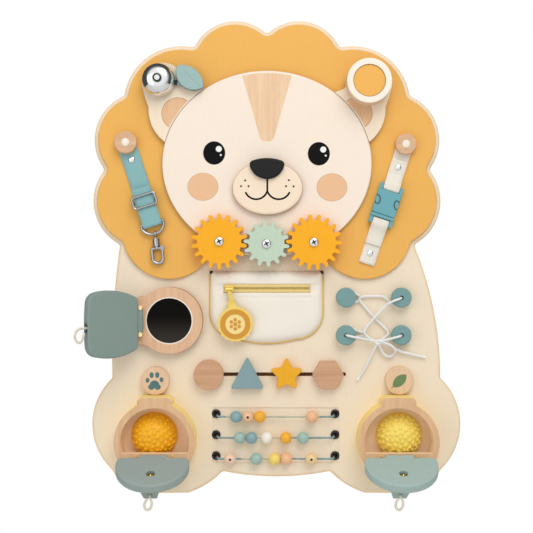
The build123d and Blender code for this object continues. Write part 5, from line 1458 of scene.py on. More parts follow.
@dataclass
class Pocket:
    """The zipped canvas pocket with its piping, tapes and teeth."""

    left: float = -59.4
    right: float = 58.4
    top: float = -14.7
    low: float = -86.0
    bulge: float = -90.4
    corner: float = 28.0
    puff: float = 6.6
    rise: float = 0.8
    shoulder: float = 3.2  # width over which the canvas swells up from its edge
    seam_x: Place = (-30.0, 46.0)
    seam_z: float = -42.6
    zip_z: float = -32.8
    zip_left: float = -45.4
    zip_right: float = 45.2
    tape_w: float = 4.5
    tape_height: float = 25.4
    zip_sink: float = 1.45  # of the canvas under the tapes and the slider
    zip_past: float = 8.0  # how far it sinks beyond the zip's ends
    piping_r: float = 1.2
    columns: int = 120
    rows: int = 76
    outline: np.ndarray = field(init=False)

    def __post_init__(self) -> None:
        """Works out the outline once."""
        self.outline = self.rim(400)

    def rim(self, count: int) -> np.ndarray:
        """Places round the pocket's edge, from its top left corner down and round."""
        middle = (self.left + self.right) / 2
        reach = (self.right - self.left) / 2 - self.corner
        drop = self.low - self.bulge
        steps = count // 8

        def corner(x: float, start: float) -> list[Place]:
            """A quarter of a circle from an angle on."""
            turns = [math.radians(start + 90 * step / steps) for step in range(steps + 1)]
            z = self.low + self.corner
            return [
                (x + self.corner * math.cos(turn), z + self.corner * math.sin(turn))
                for turn in turns
            ]

        places = [(self.left, self.top), *corner(self.left + self.corner, 180)]
        for step in range(1, steps * 2):
            share = -1 + step / steps
            places.append((middle + share * reach, self.low - drop * (1 - share * share)))
        places += [*corner(self.right - self.corner, 270), (self.right, self.top)]
        return np.array(places)

    def bottom(self, x: float) -> float:
        """The pocket's lowest z at a place across it."""
        line = self.outline[1:-1]
        return float(np.interp(x, line[:, 0], line[:, 1]))

    def depth(self, x: float, z: float) -> float:
        """The distance from a place on the pocket to its edge."""
        starts, ends = self.outline[:-1], self.outline[1:]
        runs = ends - starts
        sizes = (runs**2).sum(axis=1)
        share = np.clip((((x, z) - starts) * runs).sum(axis=1) / np.maximum(sizes, 1e-9), 0, 1)
        near = starts + runs * share[:, None]
        gap = np.hypot(near[:, 0] - x, near[:, 1] - z).min()
        return float(min(gap, self.top - z))

    def height(self, x: float, z: float) -> float:
        """The canvas's height at a place: puffed out, with soft folds and a seam."""
        inward = self.depth(x, z)
        swell = 1 - math.exp(-inward / self.shoulder)
        fold = 0.35 * math.sin(0.11 * x + 0.07 * z) + 0.22 * math.sin(0.05 * x - 0.16 * z + 1.0)
        sewn = self.seam_x[0] < x < self.seam_x[1]
        seam = 0.5 * math.exp(-(((z - self.seam_z) / 1.3) ** 2)) if sewn else 0.0
        beside = abs(z - self.zip_z) - self.tape_w
        past = max(self.zip_left - x, x - self.zip_right) - self.zip_past
        inner = 1 / (1 + math.exp(min(1.4 * past, 60.0)))
        channel = inner / (1 + math.exp(3.0 * beside))
        puffed = swell * (self.puff + fold * (1 - channel))
        return BOARD + self.rise + puffed - seam - self.zip_sink * channel

    def canvas(self) -> Object:
        """The front panel as one cloth, closed down to the board round its edge."""
        points: list[Vector] = []
        maps: list[Place] = []
        faces: list[list[int]] = []
        width = self.right - self.left
        for column in range(self.columns + 1):
            share = 0.5 - 0.5 * math.cos(math.pi * column / self.columns)
            share = 0.5 * share + 0.5 * column / self.columns
            x = self.left + width * share
            low = self.bottom(x)
            for row in range(self.rows + 1):
                z = low + (self.top - low) * row / self.rows
                points.append(spot(x, self.height(x, z), z))
                maps.append((x, z))
        count = self.rows + 1
        for column in range(self.columns):
            for row in range(self.rows):
                start = column * count + row
                faces.append([start, start + 1, start + count + 1, start + count])
        rim = list(range(count))
        rim += [column * count + self.rows for column in range(1, self.columns + 1)]
        rim += [self.columns * count + row for row in range(self.rows - 1, -1, -1)]
        rim += [column * count for column in range(self.columns - 1, 0, -1)]
        first = len(points)
        for number in rim:
            point = points[number]
            points.append(Vector((point.x, -(BOARD + 0.05) * MM, point.z)))
            maps.append(maps[number])
        total = len(rim)
        for number in range(total):
            after = (number + 1) % total
            faces.append([rim[number], rim[after], first + after, first + number])
        return mesh_object("pocket_canvas", points, faces, maps)

    def piping(self) -> Object:
        """The rolled edge round the sides and the bottom."""
        places = (*self.outline[:-1:3], self.outline[-1])
        line = [spot(x, BOARD + self.piping_r, z) for x, z in places]
        return Strand(self.piping_r, sides=12).tube("pocket_piping", line)

    def tape(self, hand: int) -> Object:
        """One side of the zip's tape, above or below its teeth."""
        points: list[Vector] = []
        maps: list[Place] = []
        steps = 60
        inner, outer = 0.7, self.tape_w
        shape = (
            (inner, 0.0), (inner, 0.5), (inner + 0.8, 1.0),
            (outer - 1.2, 1.1), (outer, 0.4), (outer, -0.4),
        )
        for step in range(steps + 1):
            x = self.zip_left + (self.zip_right - self.zip_left) * step / steps
            for out, lift in shape:
                points.append(spot(x, self.tape_height + lift, self.zip_z + hand * out))
                maps.append((x, out))
        name = f"zip_tape_{'top' if hand > 0 else 'low'}"
        return mesh_object(name, points, tube_faces(steps + 1, len(shape)), maps)

    def tape_shade(self, g: Graph, base: Signal) -> Signal:
        """The tape's colour, with painted shade in olive along its turned edges."""
        _, out, _ = g.split(g.fabric())
        outer = g.ease(out, self.tape_w - 0.9, self.tape_w - 0.2)
        # painted shade: darker along both edges of the tape
        edge = g.larger(g.fade(out, 0.9, 1.6), outer)
        return g.mix(edge * 0.6, base, shade(Tint.PIPING, 0.4))

    def corner_rivets(self, metal: Material) -> None:
        """Small dark rivets in the pocket's top corners."""
        profile = [(0.0, -0.6), (1.9, -0.6), (1.9, 0.2), (1.3, 0.8), (0.0, 1.1)]
        made = [
            lathe("corner", profile, facing_viewer(x, BOARD + 2.6, self.top - 1.6))
            for x in (self.left + 1.2, self.right - 1.2)
        ]
        finish_piece(join("pocket_rivets", made), metal, ROOT)

    def teeth(self, brass: Material) -> Object:
        """The meshed teeth between the tapes."""
        tree = GeometryTree("zip_teeth_tree")
        pitch, width, length = (tree.size(key) for key in ("Pitch", "Width", "Length"))
        row = tree.spheres(tree.spaced(pitch), (8, 6), (width, width, length))
        tree.close(row, brass)
        ends = [
            spot(x, self.tape_height + 0.3, self.zip_z)
            for x in (self.zip_left + 1, self.zip_right - 1)
        ]
        sizes = {"Pitch": 1.3, "Width": 0.5, "Length": 0.95}
        return tree.make("zip_teeth", points_object(ends, joined=True), sizes)

    def build(self, frame: Frame) -> None:
        """Makes the pocket in place of its plain solid."""
        canvas = Woven("pocket_canvas_cloth", Tint.CANVAS, thread=1.1, depth=0.05, relief=0.08)
        cloth = finish_piece(self.canvas(), canvas.material(), ROOT, ["pocket"])
        piping = Woven("pocket_piping_cloth", Tint.PIPING, thread=0.9).material()
        finish_piece(self.piping(), piping, ROOT)
        tape = Woven("zip_tape_cloth", Tint.ZIP_TAPE, thread=0.8, depth=0.1)
        woven = tape.material(self.tape_shade)
        for hand in (1, -1):
            finish_piece(self.tape(hand), woven, ROOT)
        metal = Metal("zip_brass", Tint.BRASS, 0.22).material()
        finish_piece(self.teeth(metal), metal, ROOT)
        self.corner_rivets(Moulded("rivet_black", Tint.NOSE, 0.3).material())
        frame.dress(metal, "zip_slider")
        frame.dress(PullTag().material(), "zip_pull")


@dataclass(frozen=True)
class PullTag:
    """The zip pull's brass tab and its scalloped tag, which share one solid."""

    at: Place = (-32.9, -70.0)
    tag_r: float = 20.8
    rim_r: float = 15.8
    disc_r: float = 10.2
    petals: int = 6
    petal_out: float = 4.7

    def material(self) -> Material:
        """Brass, with enamel rings and a plain flower on the tag."""
        g = Graph("pull_tag_enamel")
        out = g.away(self.at)
        tag = g.fade(out, self.tag_r - 0.2, self.tag_r + 0.2)
        ring = g.fade(out, self.rim_r - 0.3, self.rim_r + 0.3)
        disc = g.fade(out, self.disc_r - 0.3, self.disc_r + 0.3)
        colour = g.mix(tag, Tint.BRASS, srgb(250, 216, 110))
        amber = srgb(217, 152, 48)
        colour = g.mix(ring, colour, amber)
        colour = g.mix(disc, colour, srgb(251, 226, 150))
        flower = g.dot(self.at, 2.2)
        for step in range(self.petals):
            turn = math.radians(360 / self.petals * (step + 0.5))
            x, z = self.petal_out * math.cos(turn), self.petal_out * math.sin(turn)
            flower = g.larger(flower, g.dot((self.at[0] + x, self.at[1] + z), 1.9))
        colour = g.mix(flower * disc, colour, amber)
        marks = g.noise(g.place(), 1.2, 3.0)
        return g.surface(colour, marks * 0.1 + 0.3, marks, 0.02, metallic=1.0 - tag)


def door_paint(name: str, colour: Colour) -> Material:
    """Matte paint of a door."""
    return PaintedWood(name, colour, depth=0.025, roughness=0.6).material()


@dataclass
class Mirror:
    """The round mirror, its beech surround and its door."""

    at: Place = (-101.8, -66.4)
    glass_r: float = 23.4
    bevel: float = 1.1

    def surround_paint(self, g: Graph, base: Signal) -> Signal:
        """A pale bevel round the glass and a scorched outer side."""
        colour = g.mix(g.sides(0.2, 0.75), base, Tint.BURNT)
        return g.mix(g.dot(self.at, self.glass_r + self.bevel), colour, Tint.IVORY_PAINT)

    def glass(self) -> Material:
        """Silvered glass with a near-black colour, lighter towards the top: a painted reflection of
        a dark room.
        """
        g = Graph("mirror_silver")
        _, _, z = g.axes()
        # painted reflection: darker towards the bottom, lighter towards the top
        low = g.fade(z, -88.0, -60.0)
        colour = g.mix(low, srgb(22, 20, 18), srgb(54, 50, 46))
        return g.surface(colour, 0.04, metallic=1.0)

    def build(self, frame: Frame) -> None:
        """Dresses the mirror and its door."""
        ring = BareWood("surround_beech", srgb(234, 194, 158), srgb(218, 172, 134))
        frame.dress(ring.material(self.surround_paint), "mirror_surround")
        frame.dress(self.glass(), "mirror_glass")
        frame.dress(door_paint("mirror_door_paint", Tint.TEAL), "mirror_door")
        frame.dress(Metal("hinge_brass", Tint.IVORY, 0.3).material(), "hinge_pins")


@dataclass
class PawBoxes:
    """The two paw boxes with their balls and doors."""

    left_at: Place = (-115.5, -190.9)
    right_at: Place = (135.4, -190.9)
    opening_r: float = 35.5
    hinge_height: float = 49.9
    hinge_drop: float = 14.8
    door_turn: float = 115.0
    screw_out: float = 32.0  # from the hinge, in a counterbore of the door's inner face
    ball_xs: tuple[float, float] = (-118.0, 138.2)
    ball_z: float = -186.9
    ball_round: float = 25.17  # of the larger ball that a dome is cut from
    ball_depth: float = 6.17  # of that ball's middle below the board's front
    nub_r: float = 2.15
    nub_rise: float = 1.45
    nub_rings: tuple[Place, ...] = ((4.8, 5), (9.6, 10), (14.2, 15), (18.4, 19), (21.9, 22))

    def sides(self) -> tuple[tuple[str, Place], ...]:
        """Each box's side and the middle of its opening."""
        return ("left", self.left_at), ("right", self.right_at)

    def shell_paint(self, at: Place) -> Artwork:
        """The dress of a box: pale front, pastel outer wall and a browner inside."""

        def dress(g: Graph, base: Signal) -> Signal:
            """Paints one box's walls."""
            out = g.away(at)
            side = g.sides(0.5, 0.8)
            outer = side * g.ease(out, self.opening_r + 2.0, self.opening_r + 3.0)
            inner = side * g.fade(out, self.opening_r + 0.5, self.opening_r + 1.5)
            colour = g.mix(outer, base, Tint.PASTEL)
            return g.mix(inner, colour, Tint.RECESS)

        return dress

    def nubs(self, rubber: Material) -> None:
        """Soft rubber nubs spread over each dome, all standing away from its middle."""
        for side, x in zip(("left", "right"), self.ball_xs):
            middle = spot(x, BOARD - self.ball_depth, self.ball_z)
            places: list[Vector] = []
            for number, (out, count) in enumerate(self.nub_rings):
                up = math.sqrt(self.ball_round**2 - out**2)
                for step in range(int(count)):
                    turn = 2 * math.pi * (step + 0.5 * (number % 2)) / count
                    way = Vector((out * math.cos(turn), -up, out * math.sin(turn)))
                    places.append(middle + way * MM)
            tree = GeometryTree(f"nub_tree_{side}")
            width, rise = tree.size("Width"), tree.size("Rise")
            here = tree.node("GeometryNodeInputPosition").outputs[0]
            away = tree.node(
                "ShaderNodeVectorMath", {"operation": "SUBTRACT"}, {0: here, 1: tuple(middle)}
            )
            turn = tree.pointed(away.outputs[0])
            radii = (width, width, rise)
            tree.close(tree.spheres(tree.entry.outputs[0], (16, 10), radii, turn), rubber)
            sizes = {"Width": self.nub_r, "Rise": self.nub_rise}
            made = tree.make(f"ball_nubs_{side}", points_object(places), sizes)
            finish_piece(made, rubber, ROOT)

    def door_screws(self) -> None:
        """A brass screw in a dark brown counterbore on each door's inner face."""
        ring = Moulded("dark_bore", shade(Tint.BURNT, 0.5), 0.6).material()
        brass = Metal("door_screw_brass", Tint.BRASS, 0.2).material()
        tilt = math.radians(self.door_turn)
        out = Vector((0.0, -math.sin(tilt), math.cos(tilt)))
        inward = Vector((0.0, math.cos(tilt), math.sin(tilt)))
        bore = [(0.0, 0.3), (4.5, 0.3), (4.5, 0.9), (0.0, 0.9)]
        head = [
            (0.0, 0.9), (3.1, 0.9), (3.1, 1.5), (2.2, 2.2), (0.9, 2.4), (0.7, 1.6), (0.0, 1.6),
        ]
        turn = Matrix((out, inward.cross(out), inward)).transposed().to_4x4()
        for side, at in self.sides():
            hinge = spot(at[0], self.hinge_height, at[1] - self.hinge_drop)
            seat = Matrix.Translation(hinge + out * self.screw_out * MM) @ turn
            for name, profile, material in (("bore", bore, ring), ("screw", head, brass)):
                made = lathe(f"door_{name}_{side}", profile, seat)
                finish_piece(made, material, f"paw_door_{side}")

    def ball_paint(self, g: Graph, base: Signal) -> Signal:
        """Amber on the left and light yellow on the right."""
        x, _, _ = g.axes()
        return g.mix(g.ease(x, 0.0, 1.0), base, Tint.BALL_YELLOW)

    def build(self, frame: Frame) -> None:
        """Dresses the boxes, balls and doors."""
        # painted light: a shaded teal on the left door and a lit teal on the right
        door_teals_lit_and_shaded = (Tint.TEAL_LEFT_SHADED, Tint.TEAL_RIGHT_LIT)
        for (name, at), teal in zip(self.sides(), door_teals_lit_and_shaded):
            shell = BareWood(f"paw_shell_{name}", srgb(233, 193, 152), srgb(219, 174, 132))
            frame.dress(shell.material(self.shell_paint(at)), f"paw_box_{name}")
            frame.dress(door_paint(f"paw_door_{name}_paint", teal), f"paw_door_{name}")
        balls = Moulded("ball_rubber", Tint.BALL_AMBER, 0.42, 0.02, gloss=0.45)
        rubber = balls.material(self.ball_paint)
        frame.dress(rubber, "sensory_balls")
        self.nubs(rubber)
        self.door_screws()


@dataclass
class DoorRopes:
    """A twisted rope loop on each door."""

    radius: float = 1.4
    mirror_length: float = 42.1
    paw_length: float = 36.0
    mirror: Route = (
        (-176.5, 67.9, -72.3), (-183.8, 73.4, -71.6), (-188.6, 76.0, -72.6),
        (-191.4, 77.6, -78.2), (-190.0, 77.8, -84.4), (-186.4, 77.4, -86.6),
        (-183.0, 76.8, -83.0), (-182.4, 75.8, -76.2),
    )
    paw: Route = (
        (0.0, 82.0, -233.3), (0.0, 89.0, -236.6), (2.6, 90.4, -241.4), (1.8, 90.8, -246.8),
        (-2.2, 90.8, -249.8), (-5.4, 90.6, -246.2), (-4.6, 90.2, -240.8), (-2.0, 90.0, -238.0),
    )
    paw_xs: tuple[float, float] = (-115.5, 131.4)

    def loop(
        self, name: str, route: Route, body: str, length: float, rope: Material
    ) -> None:
        """One loop of three strands."""
        line = smooth_line([spot(*point) for point in route])
        made = Strand(self.radius, strands=3, pitch=5.0, sides=8).tube(name, line)
        finish_piece(made, rope, body, [name.replace("_loop", "")])
        2 * self.radius * MM

    def build(self) -> None:
        """Makes the three loops."""
        rope = Twisted("door_rope", Tint.ROPE).material()
        self.loop("mirror_door_rope_loop", self.mirror, "mirror_door", self.mirror_length, rope)
        for side, x in zip(("left", "right"), self.paw_xs):
            route = [(x + point[0], point[1], point[2]) for point in self.paw]
            self.loop(f"paw_rope_{side}_loop", route, f"paw_door_{side}", self.paw_length, rope)


KNOT = (115.9, 25.8, -89.1)
LACE: Mapping[str, tuple[float, Route]] = {  # each run's length and route
    "cross": (116.8, (
        KNOT, (123.6, 23.4, -84.2), (127.4, 22.4, -80.6), (126.4, 21.6, -76.8),
        (112.3, 21.2, -63.5), (98.4, 21.6, -47.4), (96.2, 21.8, -43.8), (99.2, 21.6, -41.3),
        (111.0, 21.8, -41.0), (122.4, 21.6, -41.3), (126.4, 21.6, -44.6),
        (130.4, 21.4, -49.4), (137.4, 21.4, -51.4), (146.0, 21.4, -48.6),
    )),
    "diagonal": (78.3, (
        (140.1, 26.0, -42.6), (140.1, 31.9, -42.8), (130.4, 31.9, -46.0),
        (123.6, 28.8, -50.4), (112.3, 26.2, -63.3), (101.6, 25.4, -75.6),
        (101.8, 25.2, -80.8), (108.6, 25.4, -86.2), KNOT,
    )),
    "upper_left_neck": (57.6, (
        (97.0, 21.6, -41.0), (90.4, 21.4, -37.0), (84.4, 21.4, -33.8), (76.8, 21.4, -35.2),
        (73.5, 21.4, -42.4), (76.8, 21.4, -49.6), (84.4, 21.4, -51.0), (90.6, 21.4, -47.8),
        (97.0, 21.6, -45.6),
    )),
    "lower_left_neck": (69.2, (
        (102.6, 22.4, -79.4), (96.6, 21.6, -78.2), (90.4, 21.4, -76.0), (84.4, 21.4, -73.0),
        (76.8, 21.4, -74.4), (73.5, 21.4, -81.6), (76.8, 21.4, -88.8), (84.4, 21.4, -90.2),
        (90.6, 21.4, -85.4), (96.6, 21.6, -82.6), (102.8, 22.6, -82.4),
    )),
    "lower_left": (40.0, (
        (82.3, 26.0, -81.4), (82.3, 31.9, -81.6), (94.0, 32.0, -84.0), (103.6, 28.2, -86.0),
        KNOT,
    )),
    "lower_right": (31.2, (
        (140.1, 26.0, -81.8), (140.1, 31.9, -82.0), (128.6, 31.9, -84.8), KNOT,
    )),
    "left_tail": (45.1, (
        KNOT, (112.4, 24.6, -94.6), (107.8, 23.2, -105.2), (102.1, 22.2, -117.5),
        (94.8, 21.4, -128.6),
    )),
    "right_tail": (53.4, (
        KNOT, (122.5, 25.4, -91.2), (127.8, 25.2, -91.2), (133.2, 24.8, -95.0),
        (140.0, 23.6, -99.0), (153.2, 22.2, -102.2), (166.0, 21.4, -105.1),
    )),
    "bow": (52.5, (
        KNOT, (118.6, 24.2, -96.2), (122.3, 23.0, -102.2), (127.6, 22.6, -105.0),
        (132.8, 23.6, -102.6), (134.6, 27.6, -98.2), (131.2, 29.4, -93.4),
        (124.6, 28.8, -89.6), (117.6, 27.4, -88.4),
    )),
}


@dataclass
class Lacing:
    """The lacing knobs and the white lace, run by run."""

    radius: float = 1.3
    knot_r: float = 2.1
    knot_steps: int = 28
    knot_turn: int = 12  # steps in one turn of the knot
    tip_length: float = 3.0  # of the lace that a tip covers

    def knot(self, lace: Material) -> None:
        """A small overhand knot, wound from the lace itself."""
        x, height, z = KNOT
        route = []
        for step in range(self.knot_steps):
            turn = 2 * math.pi * step / self.knot_turn
            swing = self.knot_r + 0.25 * math.sin(3 * turn)
            route.append((
                x + swing * math.cos(turn), height + self.radius * math.sin(2.5 * turn),
                z + swing * math.sin(turn) * 0.9,
            ))
        line = smooth_line([spot(*point) for point in route], 4)
        made = Strand(self.radius, sides=10).tube("lace_knot", line)
        finish_piece(made, lace, ROOT)

    def build(self, frame: Frame) -> None:
        """Dresses the knobs and makes the lace."""
        paint = PaintedWood("lacing_knob_paint", Tint.KNOB_TEAL, depth=0.03)
        frame.dress(paint.material(), "lacing_knobs")
        lace = Twisted("white_lace", Tint.LACE, thread=1.1).material()
        for name, (length, route) in LACE.items():
            line = smooth_line([spot(*point) for point in route])
            made = Strand(self.radius, sides=12).tube(f"lace_{name}", line)
            finish_piece(made, lace, ROOT, ["lace"] if name == "cross" else [])
            2 * self.radius * MM
        self.knot(lace)
        self.tips()

    def tips(self) -> None:
        """The sealed ends of both tails."""
        tip = Moulded("lace_tip_film", Tint.LACE, 0.3).material()
        made = []
        for name in ("left_tail", "right_tail"):
            route = [spot(*point) for point in LACE[name][1]]
            way = (route[-1] - route[-2]).normalized()
            turn = way.to_track_quat("Z", "Y").to_matrix().to_4x4()
            seat = Matrix.Translation(route[-1] - way * self.tip_length * MM) @ turn
            profile = [(0.0, 0.0), (1.42, 0.0), (1.42, 0.5), (1.36, 3.2), (0.9, 3.9), (0.0, 4.0)]
            made.append(lathe(f"tip_{name}", profile, seat, sides=16))
        finish_piece(join("lace_tips", made), tip, ROOT)


@dataclass
class TurnButtons:
    """The two turning buttons with their printed paw and leaf."""

    paw_at: Place = (-116.8, -129.5)
    leaf_at: Place = (138.2, -129.2)
    leaf_r: float = 11.4  # of the two rounds that a leaf is cut from
    leaf_lean: float = 6.2  # of their middles from the leaf's
    leaf_slant: float = 43.0  # degrees
    toes: tuple[tuple[float, float, float, float], ...] = (
        (-7.7, 0.9, 2.0, 2.5), (-3.4, 6.3, 2.2, 3.1), (2.5, 6.4, 2.2, 3.1), (6.9, 1.5, 2.0, 2.6),
    )

    def paw_print(self, g: Graph, base: Signal) -> Signal:
        """A round pad with two lobes below, and four toes."""
        x, z = self.paw_at
        ink = g.oval((x - 0.4, z - 3.4), (4.8, 4.1))
        for side in (-1, 1):
            ink = g.larger(ink, g.oval((x - 0.4 + side * 3.3, z - 6.0), (3.2, 3.0)))
        for toe_x, toe_z, half_w, half_h in self.toes:
            ink = g.larger(ink, g.oval((x + toe_x, z + toe_z), (half_w, half_h)))
        front = g.front(0.7, 0.9)
        return g.mix(ink * front * 0.95, base, Tint.PAW_PRINT)

    def leaf_print(self, g: Graph, base: Signal) -> Signal:
        """A slanted leaf where two rounds overlap, with a vein and a stalk."""
        x, z = self.leaf_at
        slant = math.radians(self.leaf_slant + 90)
        lean_x, lean_z = self.leaf_lean * math.cos(slant), self.leaf_lean * math.sin(slant)
        upper = g.dot((x + lean_x, z + lean_z), self.leaf_r)
        lower = g.dot((x - lean_x, z - lean_z), self.leaf_r)
        leaf = upper * lower
        stalk = g.stroke((x - 8.2, z - 7.4), (x - 5.5, z - 5.2), 0.9)
        ink = g.larger(leaf, stalk)
        vein = g.stroke((x - 5.0, z - 4.8), (x + 4.6, z + 4.2), 0.3)
        front = g.front(0.7, 0.9)
        colour = g.mix(ink * front, base, Tint.LEAF_PRINT)
        return g.mix(vein * leaf * front * 0.5, colour, shade(Tint.LEAF_PRINT, 0.7))

    def build(self, frame: Frame) -> None:
        """Dresses the buttons."""
        light, dark = srgb(240, 208, 174), srgb(226, 188, 150)
        for node, art in (("paw_button", self.paw_print), ("leaf_button", self.leaf_print)):
            frame.dress(BareWood(f"{node}_beech", light, dark).material(art), node)


@dataclass
class Sliders:
    """The four shapes that run in the slot."""

    def build(self, frame: Frame) -> None:
        """Dresses the shapes."""
        for name, light, dark in (
            ("disc", srgb(216, 170, 134), srgb(196, 148, 112)),
            ("hexagon", srgb(218, 172, 136), srgb(194, 146, 110)),
        ):
            wood = BareWood(f"{name}_beech", light, dark, Grain.ACROSS)
            frame.dress(wood.material(), f"{name}_slider")
        for name, tint in (("triangle", Tint.TRIANGLE), ("star", Tint.STAR)):
            paint = PaintedWood(f"{name}_paint", tint, depth=0.03)
            frame.dress(paint.material(), f"{name}_slider")


@dataclass
class Abacus:
    """Three cords with their beads, and the eyelets that they go through."""

    rows: tuple[float, float, float] = (-167.0, -189.0, -211.0)
    left: float = -53.4
    right: float = 71.5
    cord_height: float = 24.6
    cord_inside: float = 12.0
    radius: float = 1.2
    length: float = 145.5
    blue_pale: Place = (36.0, 84.0)  # where a cord's cream stretch starts and ends
    top_pale: Place = (20.0, 118.0)
    eyelet: Place = (3.3, 1.4)  # radii of its ring and its wire
    eyelet_height: float = 18.6
    eyelet_lift: float = 2.4  # above its cord's row
    straight: float = 8.0  # of a cord beside each eyelet
    dive: float = 1.2  # rise of a cord's ends inside the board
    bead_r: float = 6.2

    def cord(self, name: str, z: float) -> None:
        """One cord, out of its left eyelet, taut across and into its right one."""
        left, right = self.left + 1.0, self.right - 1.0
        inside, out = self.cord_inside, self.cord_height
        route = [
            (left, inside, z + self.dive), (left, out, z), (left + self.straight, out, z),
            (right - self.straight, out, z), (right, out, z), (right, inside, z + self.dive),
        ]
        line = smooth_line([spot(*point) for point in route])
        made = Strand(self.radius, strands=3, pitch=4.6, sides=8).tube(name, line)
        top = z == self.rows[0]

        def pale(g: Graph) -> Signal:
            """The stretches of the cord that are cream."""
            along, _, _ = g.split(g.fabric())
            return g.inside(along, *(self.top_pale if top else self.blue_pale), 2.0)

        cord = Twisted(f"{name}_cotton", Tint.CORD, Tint.CORD_CREAM).material(pale)
        finish_piece(made, cord, ROOT, ["abacus_cords"] if top else [])
        2 * self.radius * MM

    def eyelets(self) -> None:
        """Glossy black eyelets round the six cord holes."""
        black = Moulded("eyelet_black", srgb(24, 24, 26), 0.16, 0.01).material()
        tree = GeometryTree("eyelet_tree")
        ring, wire = tree.size("Ring"), tree.size("Wire")
        round_line = "GeometryNodeCurvePrimitiveCircle"
        loop, section = (
            tree.node(round_line, inputs={"Resolution": fine, "Radius": size})
            for fine, size in ((32, ring), (12, wire))
        )
        rim = tree.node(
            "GeometryNodeCurveToMesh",
            inputs={"Curve": loop.outputs[0], "Profile Curve": section.outputs[0]},
        )
        placed = tree.node(
            "GeometryNodeInstanceOnPoints",
            inputs={
                "Points": tree.entry.outputs[0], "Instance": rim.outputs[0],
                "Rotation": (math.radians(90), 0.0, 0.0),
            },
        )
        tree.close(placed.outputs[0], black)
        places = [
            spot(x, self.eyelet_height, z + self.eyelet_lift)
            for z in self.rows for x in (self.left, self.right)
        ]
        sizes = dict(zip(("Ring", "Wire"), self.eyelet))
        made = tree.make("cord_eyelets", points_object(places), sizes)
        finish_piece(made, black, ROOT)

    def bead(self, name: str, tints: Sequence[tuple[float, Colour, bool]], row: int) -> Material:
        """Paint of the beads that share a node.

        Args:
            name: The material's name.
            tints: Each bead's x, its colour and whether its hole faces the front.
            row: Its cord.

        Returns:
            The material.
        """
        g = Graph(name)
        x, _, _ = g.axes()
        grain = g.noise(g.stretch(g.place(), (0.2, 1.0, 1.0)), 0.8, 3.0)
        colour: Signal | Colour = tints[0][1]
        for at, tint, _ in tints[1:]:
            start = at - self.bead_r
            colour = g.mix(g.ease(x, start - 0.05, start + 0.05), colour, tint)
        colour = g.mix(g.ease(grain, 0.4, 0.8) * 0.25, colour, srgb(190, 150, 110))
        # painted shade: a black dot for the dark inside of a hole that faces the front
        for at, _, holed in tints:
            if holed:
                dot = g.dot((at, self.rows[row] + 0.2), 1.35, 0.2)
                colour = g.mix(dot * g.front(0.0, 0.2), colour, Tint.BLACK)
        return g.surface(colour, grain * 0.1 + 0.38, grain, 0.02)

    def build(self, frame: Frame) -> None:
        """Makes the cords and eyelets and dresses the beads."""
        for number, z in enumerate(self.rows):
            self.cord(f"abacus_cord_{number + 1}", z)
        self.eyelets()
        blue, natural, amber = srgb(132, 172, 180), srgb(240, 196, 156), srgb(248, 180, 38)
        peach, sage, white = srgb(246, 192, 146), srgb(160, 194, 186), srgb(250, 244, 232)
        pink, yellow, tan = srgb(246, 212, 188), srgb(252, 222, 110), srgb(246, 214, 158)
        sets = {
            "beads_blue_natural_amber": (
                0, [(-32.4, blue, False), (-20.0, natural, True), (-7.6, amber, False)],
            ),
            "bead_peach_top": (0, [(47.0, peach, False)]),
            "beads_sage_blue": (1, [(-28.6, sage, False), (-16.1, blue, False)]),
            "bead_white": (1, [(-0.3, white, False)]),
            "bead_amber": (1, [(19.7, amber, False)]),
            "bead_sage_right": (1, [(37.8, sage, False)]),
            "bead_pink": (2, [(-38.5, pink, True)]),
            "bead_sage_low": (2, [(-11.3, sage, False)]),
            "beads_yellow_peach": (2, [(7.9, yellow, False), (20.4, peach, False)]),
            "bead_tan": (2, [(46.2, tan, True)]),
        }
        for node, (row, tints) in sets.items():
            frame.dress(self.bead(f"{node}_paint", tints, row), node)


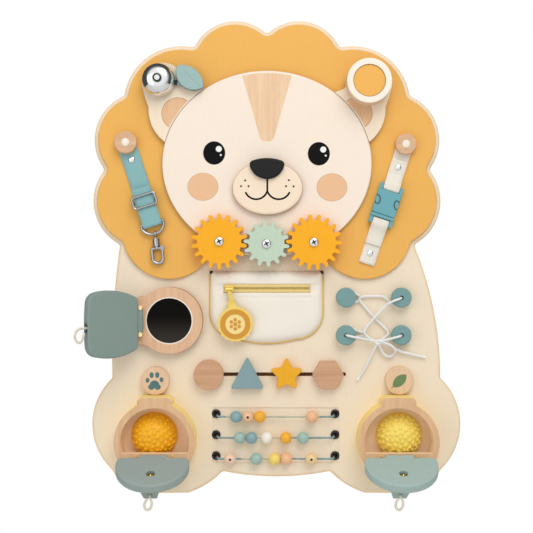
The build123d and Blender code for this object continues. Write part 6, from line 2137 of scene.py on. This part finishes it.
@dataclass
class Studio:
    """A plain pale floor, soft lights and the camera."""

    eye: tuple[float, float, float] = (-0.0005, -1.119, -0.010)
    lens: float = 70.76
    floor_z: float = -0.42
    key_at: tuple[float, float, float] = (0.35, -1.3, 1.3)
    key_power: float = 16.0
    fill_at: tuple[float, float, float] = (-1.2, -1.4, 0.2)
    fill_power: float = 5.0
    ambient: float = 0.5
    room_dark: float = 0.07  # what reflections see beside and behind the viewer's side
    room_lean: float = -0.35
    room_edge: Place = (-0.35, -0.94)  # between dark and lit, by the direction's y

    def camera(self) -> None:
        """Looks straight at the board."""
        data = bpy.data.cameras.new("camera")
        data.lens = self.lens
        data.sensor_width = 36.0
        holder = link(bpy.data.objects.new("camera", data))
        holder.location = self.eye
        holder.rotation_euler = (math.radians(90), 0.0, 0.0)
        bpy.context.scene.camera = holder

    def lamp(self, name: str, at: Vector, size: float, power: float) -> None:
        """A soft square lamp that looks at the board's middle."""
        data = bpy.data.lights.new(name, "AREA")
        data.shape = "SQUARE"
        data.size = size
        data.energy = power
        holder = link(bpy.data.objects.new(name, data))
        holder.location = at
        holder.rotation_euler = (-at).to_track_quat("-Z", "Y").to_euler()

    def sky(self) -> None:
        """White for the camera and reflections, and plainer light on the object."""
        g = Graph("studio", "worlds")
        bpy.context.scene.world = g.owner
        rays = g.node("ShaderNodeLightPath").outputs
        way = g.node("ShaderNodeTexCoord").outputs["Generated"]
        _, y, z = g.split(Signal(g, way))
        room = g.blend(
            g.math("MULTIPLY_ADD", z, self.room_lean, y), self.room_dark, 1.0,
            self.room_edge, "SMOOTHSTEP",
        )
        lit = g.blend(Signal(g, rays["Is Glossy Ray"]), self.ambient, room)
        clear = g.larger(
            Signal(g, rays["Is Camera Ray"]), Signal(g, rays["Is Transmission Ray"])
        )
        light = g.node("ShaderNodeBackground", inputs={
            "Color": (1.0, 1.0, 1.0), "Strength": g.blend(clear, lit, 1.0),
        })
        g.node("ShaderNodeOutputWorld", inputs={"Surface": light.outputs[0]})

    def floor(self) -> None:
        """A pale floor well below the board."""
        half, back = 1.6, 0.45
        corners = [
            Vector((-half, -half, self.floor_z)), Vector((half, -half, self.floor_z)),
            Vector((half, back, self.floor_z)), Vector((-half, back, self.floor_z)),
        ]
        floor = mesh_object("floor", corners, [[0, 1, 2, 3]])
        g = Graph("floor_paint")
        cloud = g.noise(g.place(), 0.002, 2.0)
        colour = g.mix(cloud, (0.86, 0.86, 0.86), (0.9, 0.9, 0.9))
        floor.data.materials.append(g.surface(colour, 0.9))
        floor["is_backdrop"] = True

    def build(self) -> None:
        """Sets up the studio."""
        self.camera()
        self.sky()
        self.floor()
        self.lamp("key", Vector(self.key_at), 1.2, self.key_power)
        self.lamp("fill", Vector(self.fill_at), 1.4, self.fill_power)
        bpy.context.scene.view_settings.view_transform = "Standard"


def main() -> list[list[float]]:
    """Builds the whole board.

    Returns:
        The box of the bare solids, lowest and highest corners in metres.
    """
    logging.basicConfig(level=logging.INFO, format="%(name)s %(message)s")
    frame = Frame()
    solids = [list(corner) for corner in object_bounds()]
    Studio().build()
    DoorRopes().build()
    for part in (
        Lacing, Abacus, Relief, Bell, Knob, Straps, Gears, Pocket, Mirror, PawBoxes,
        TurnButtons, Sliders,
    ):
        part().build(frame)
    return solids


if __name__ == "__main__":
    solid_box = main()
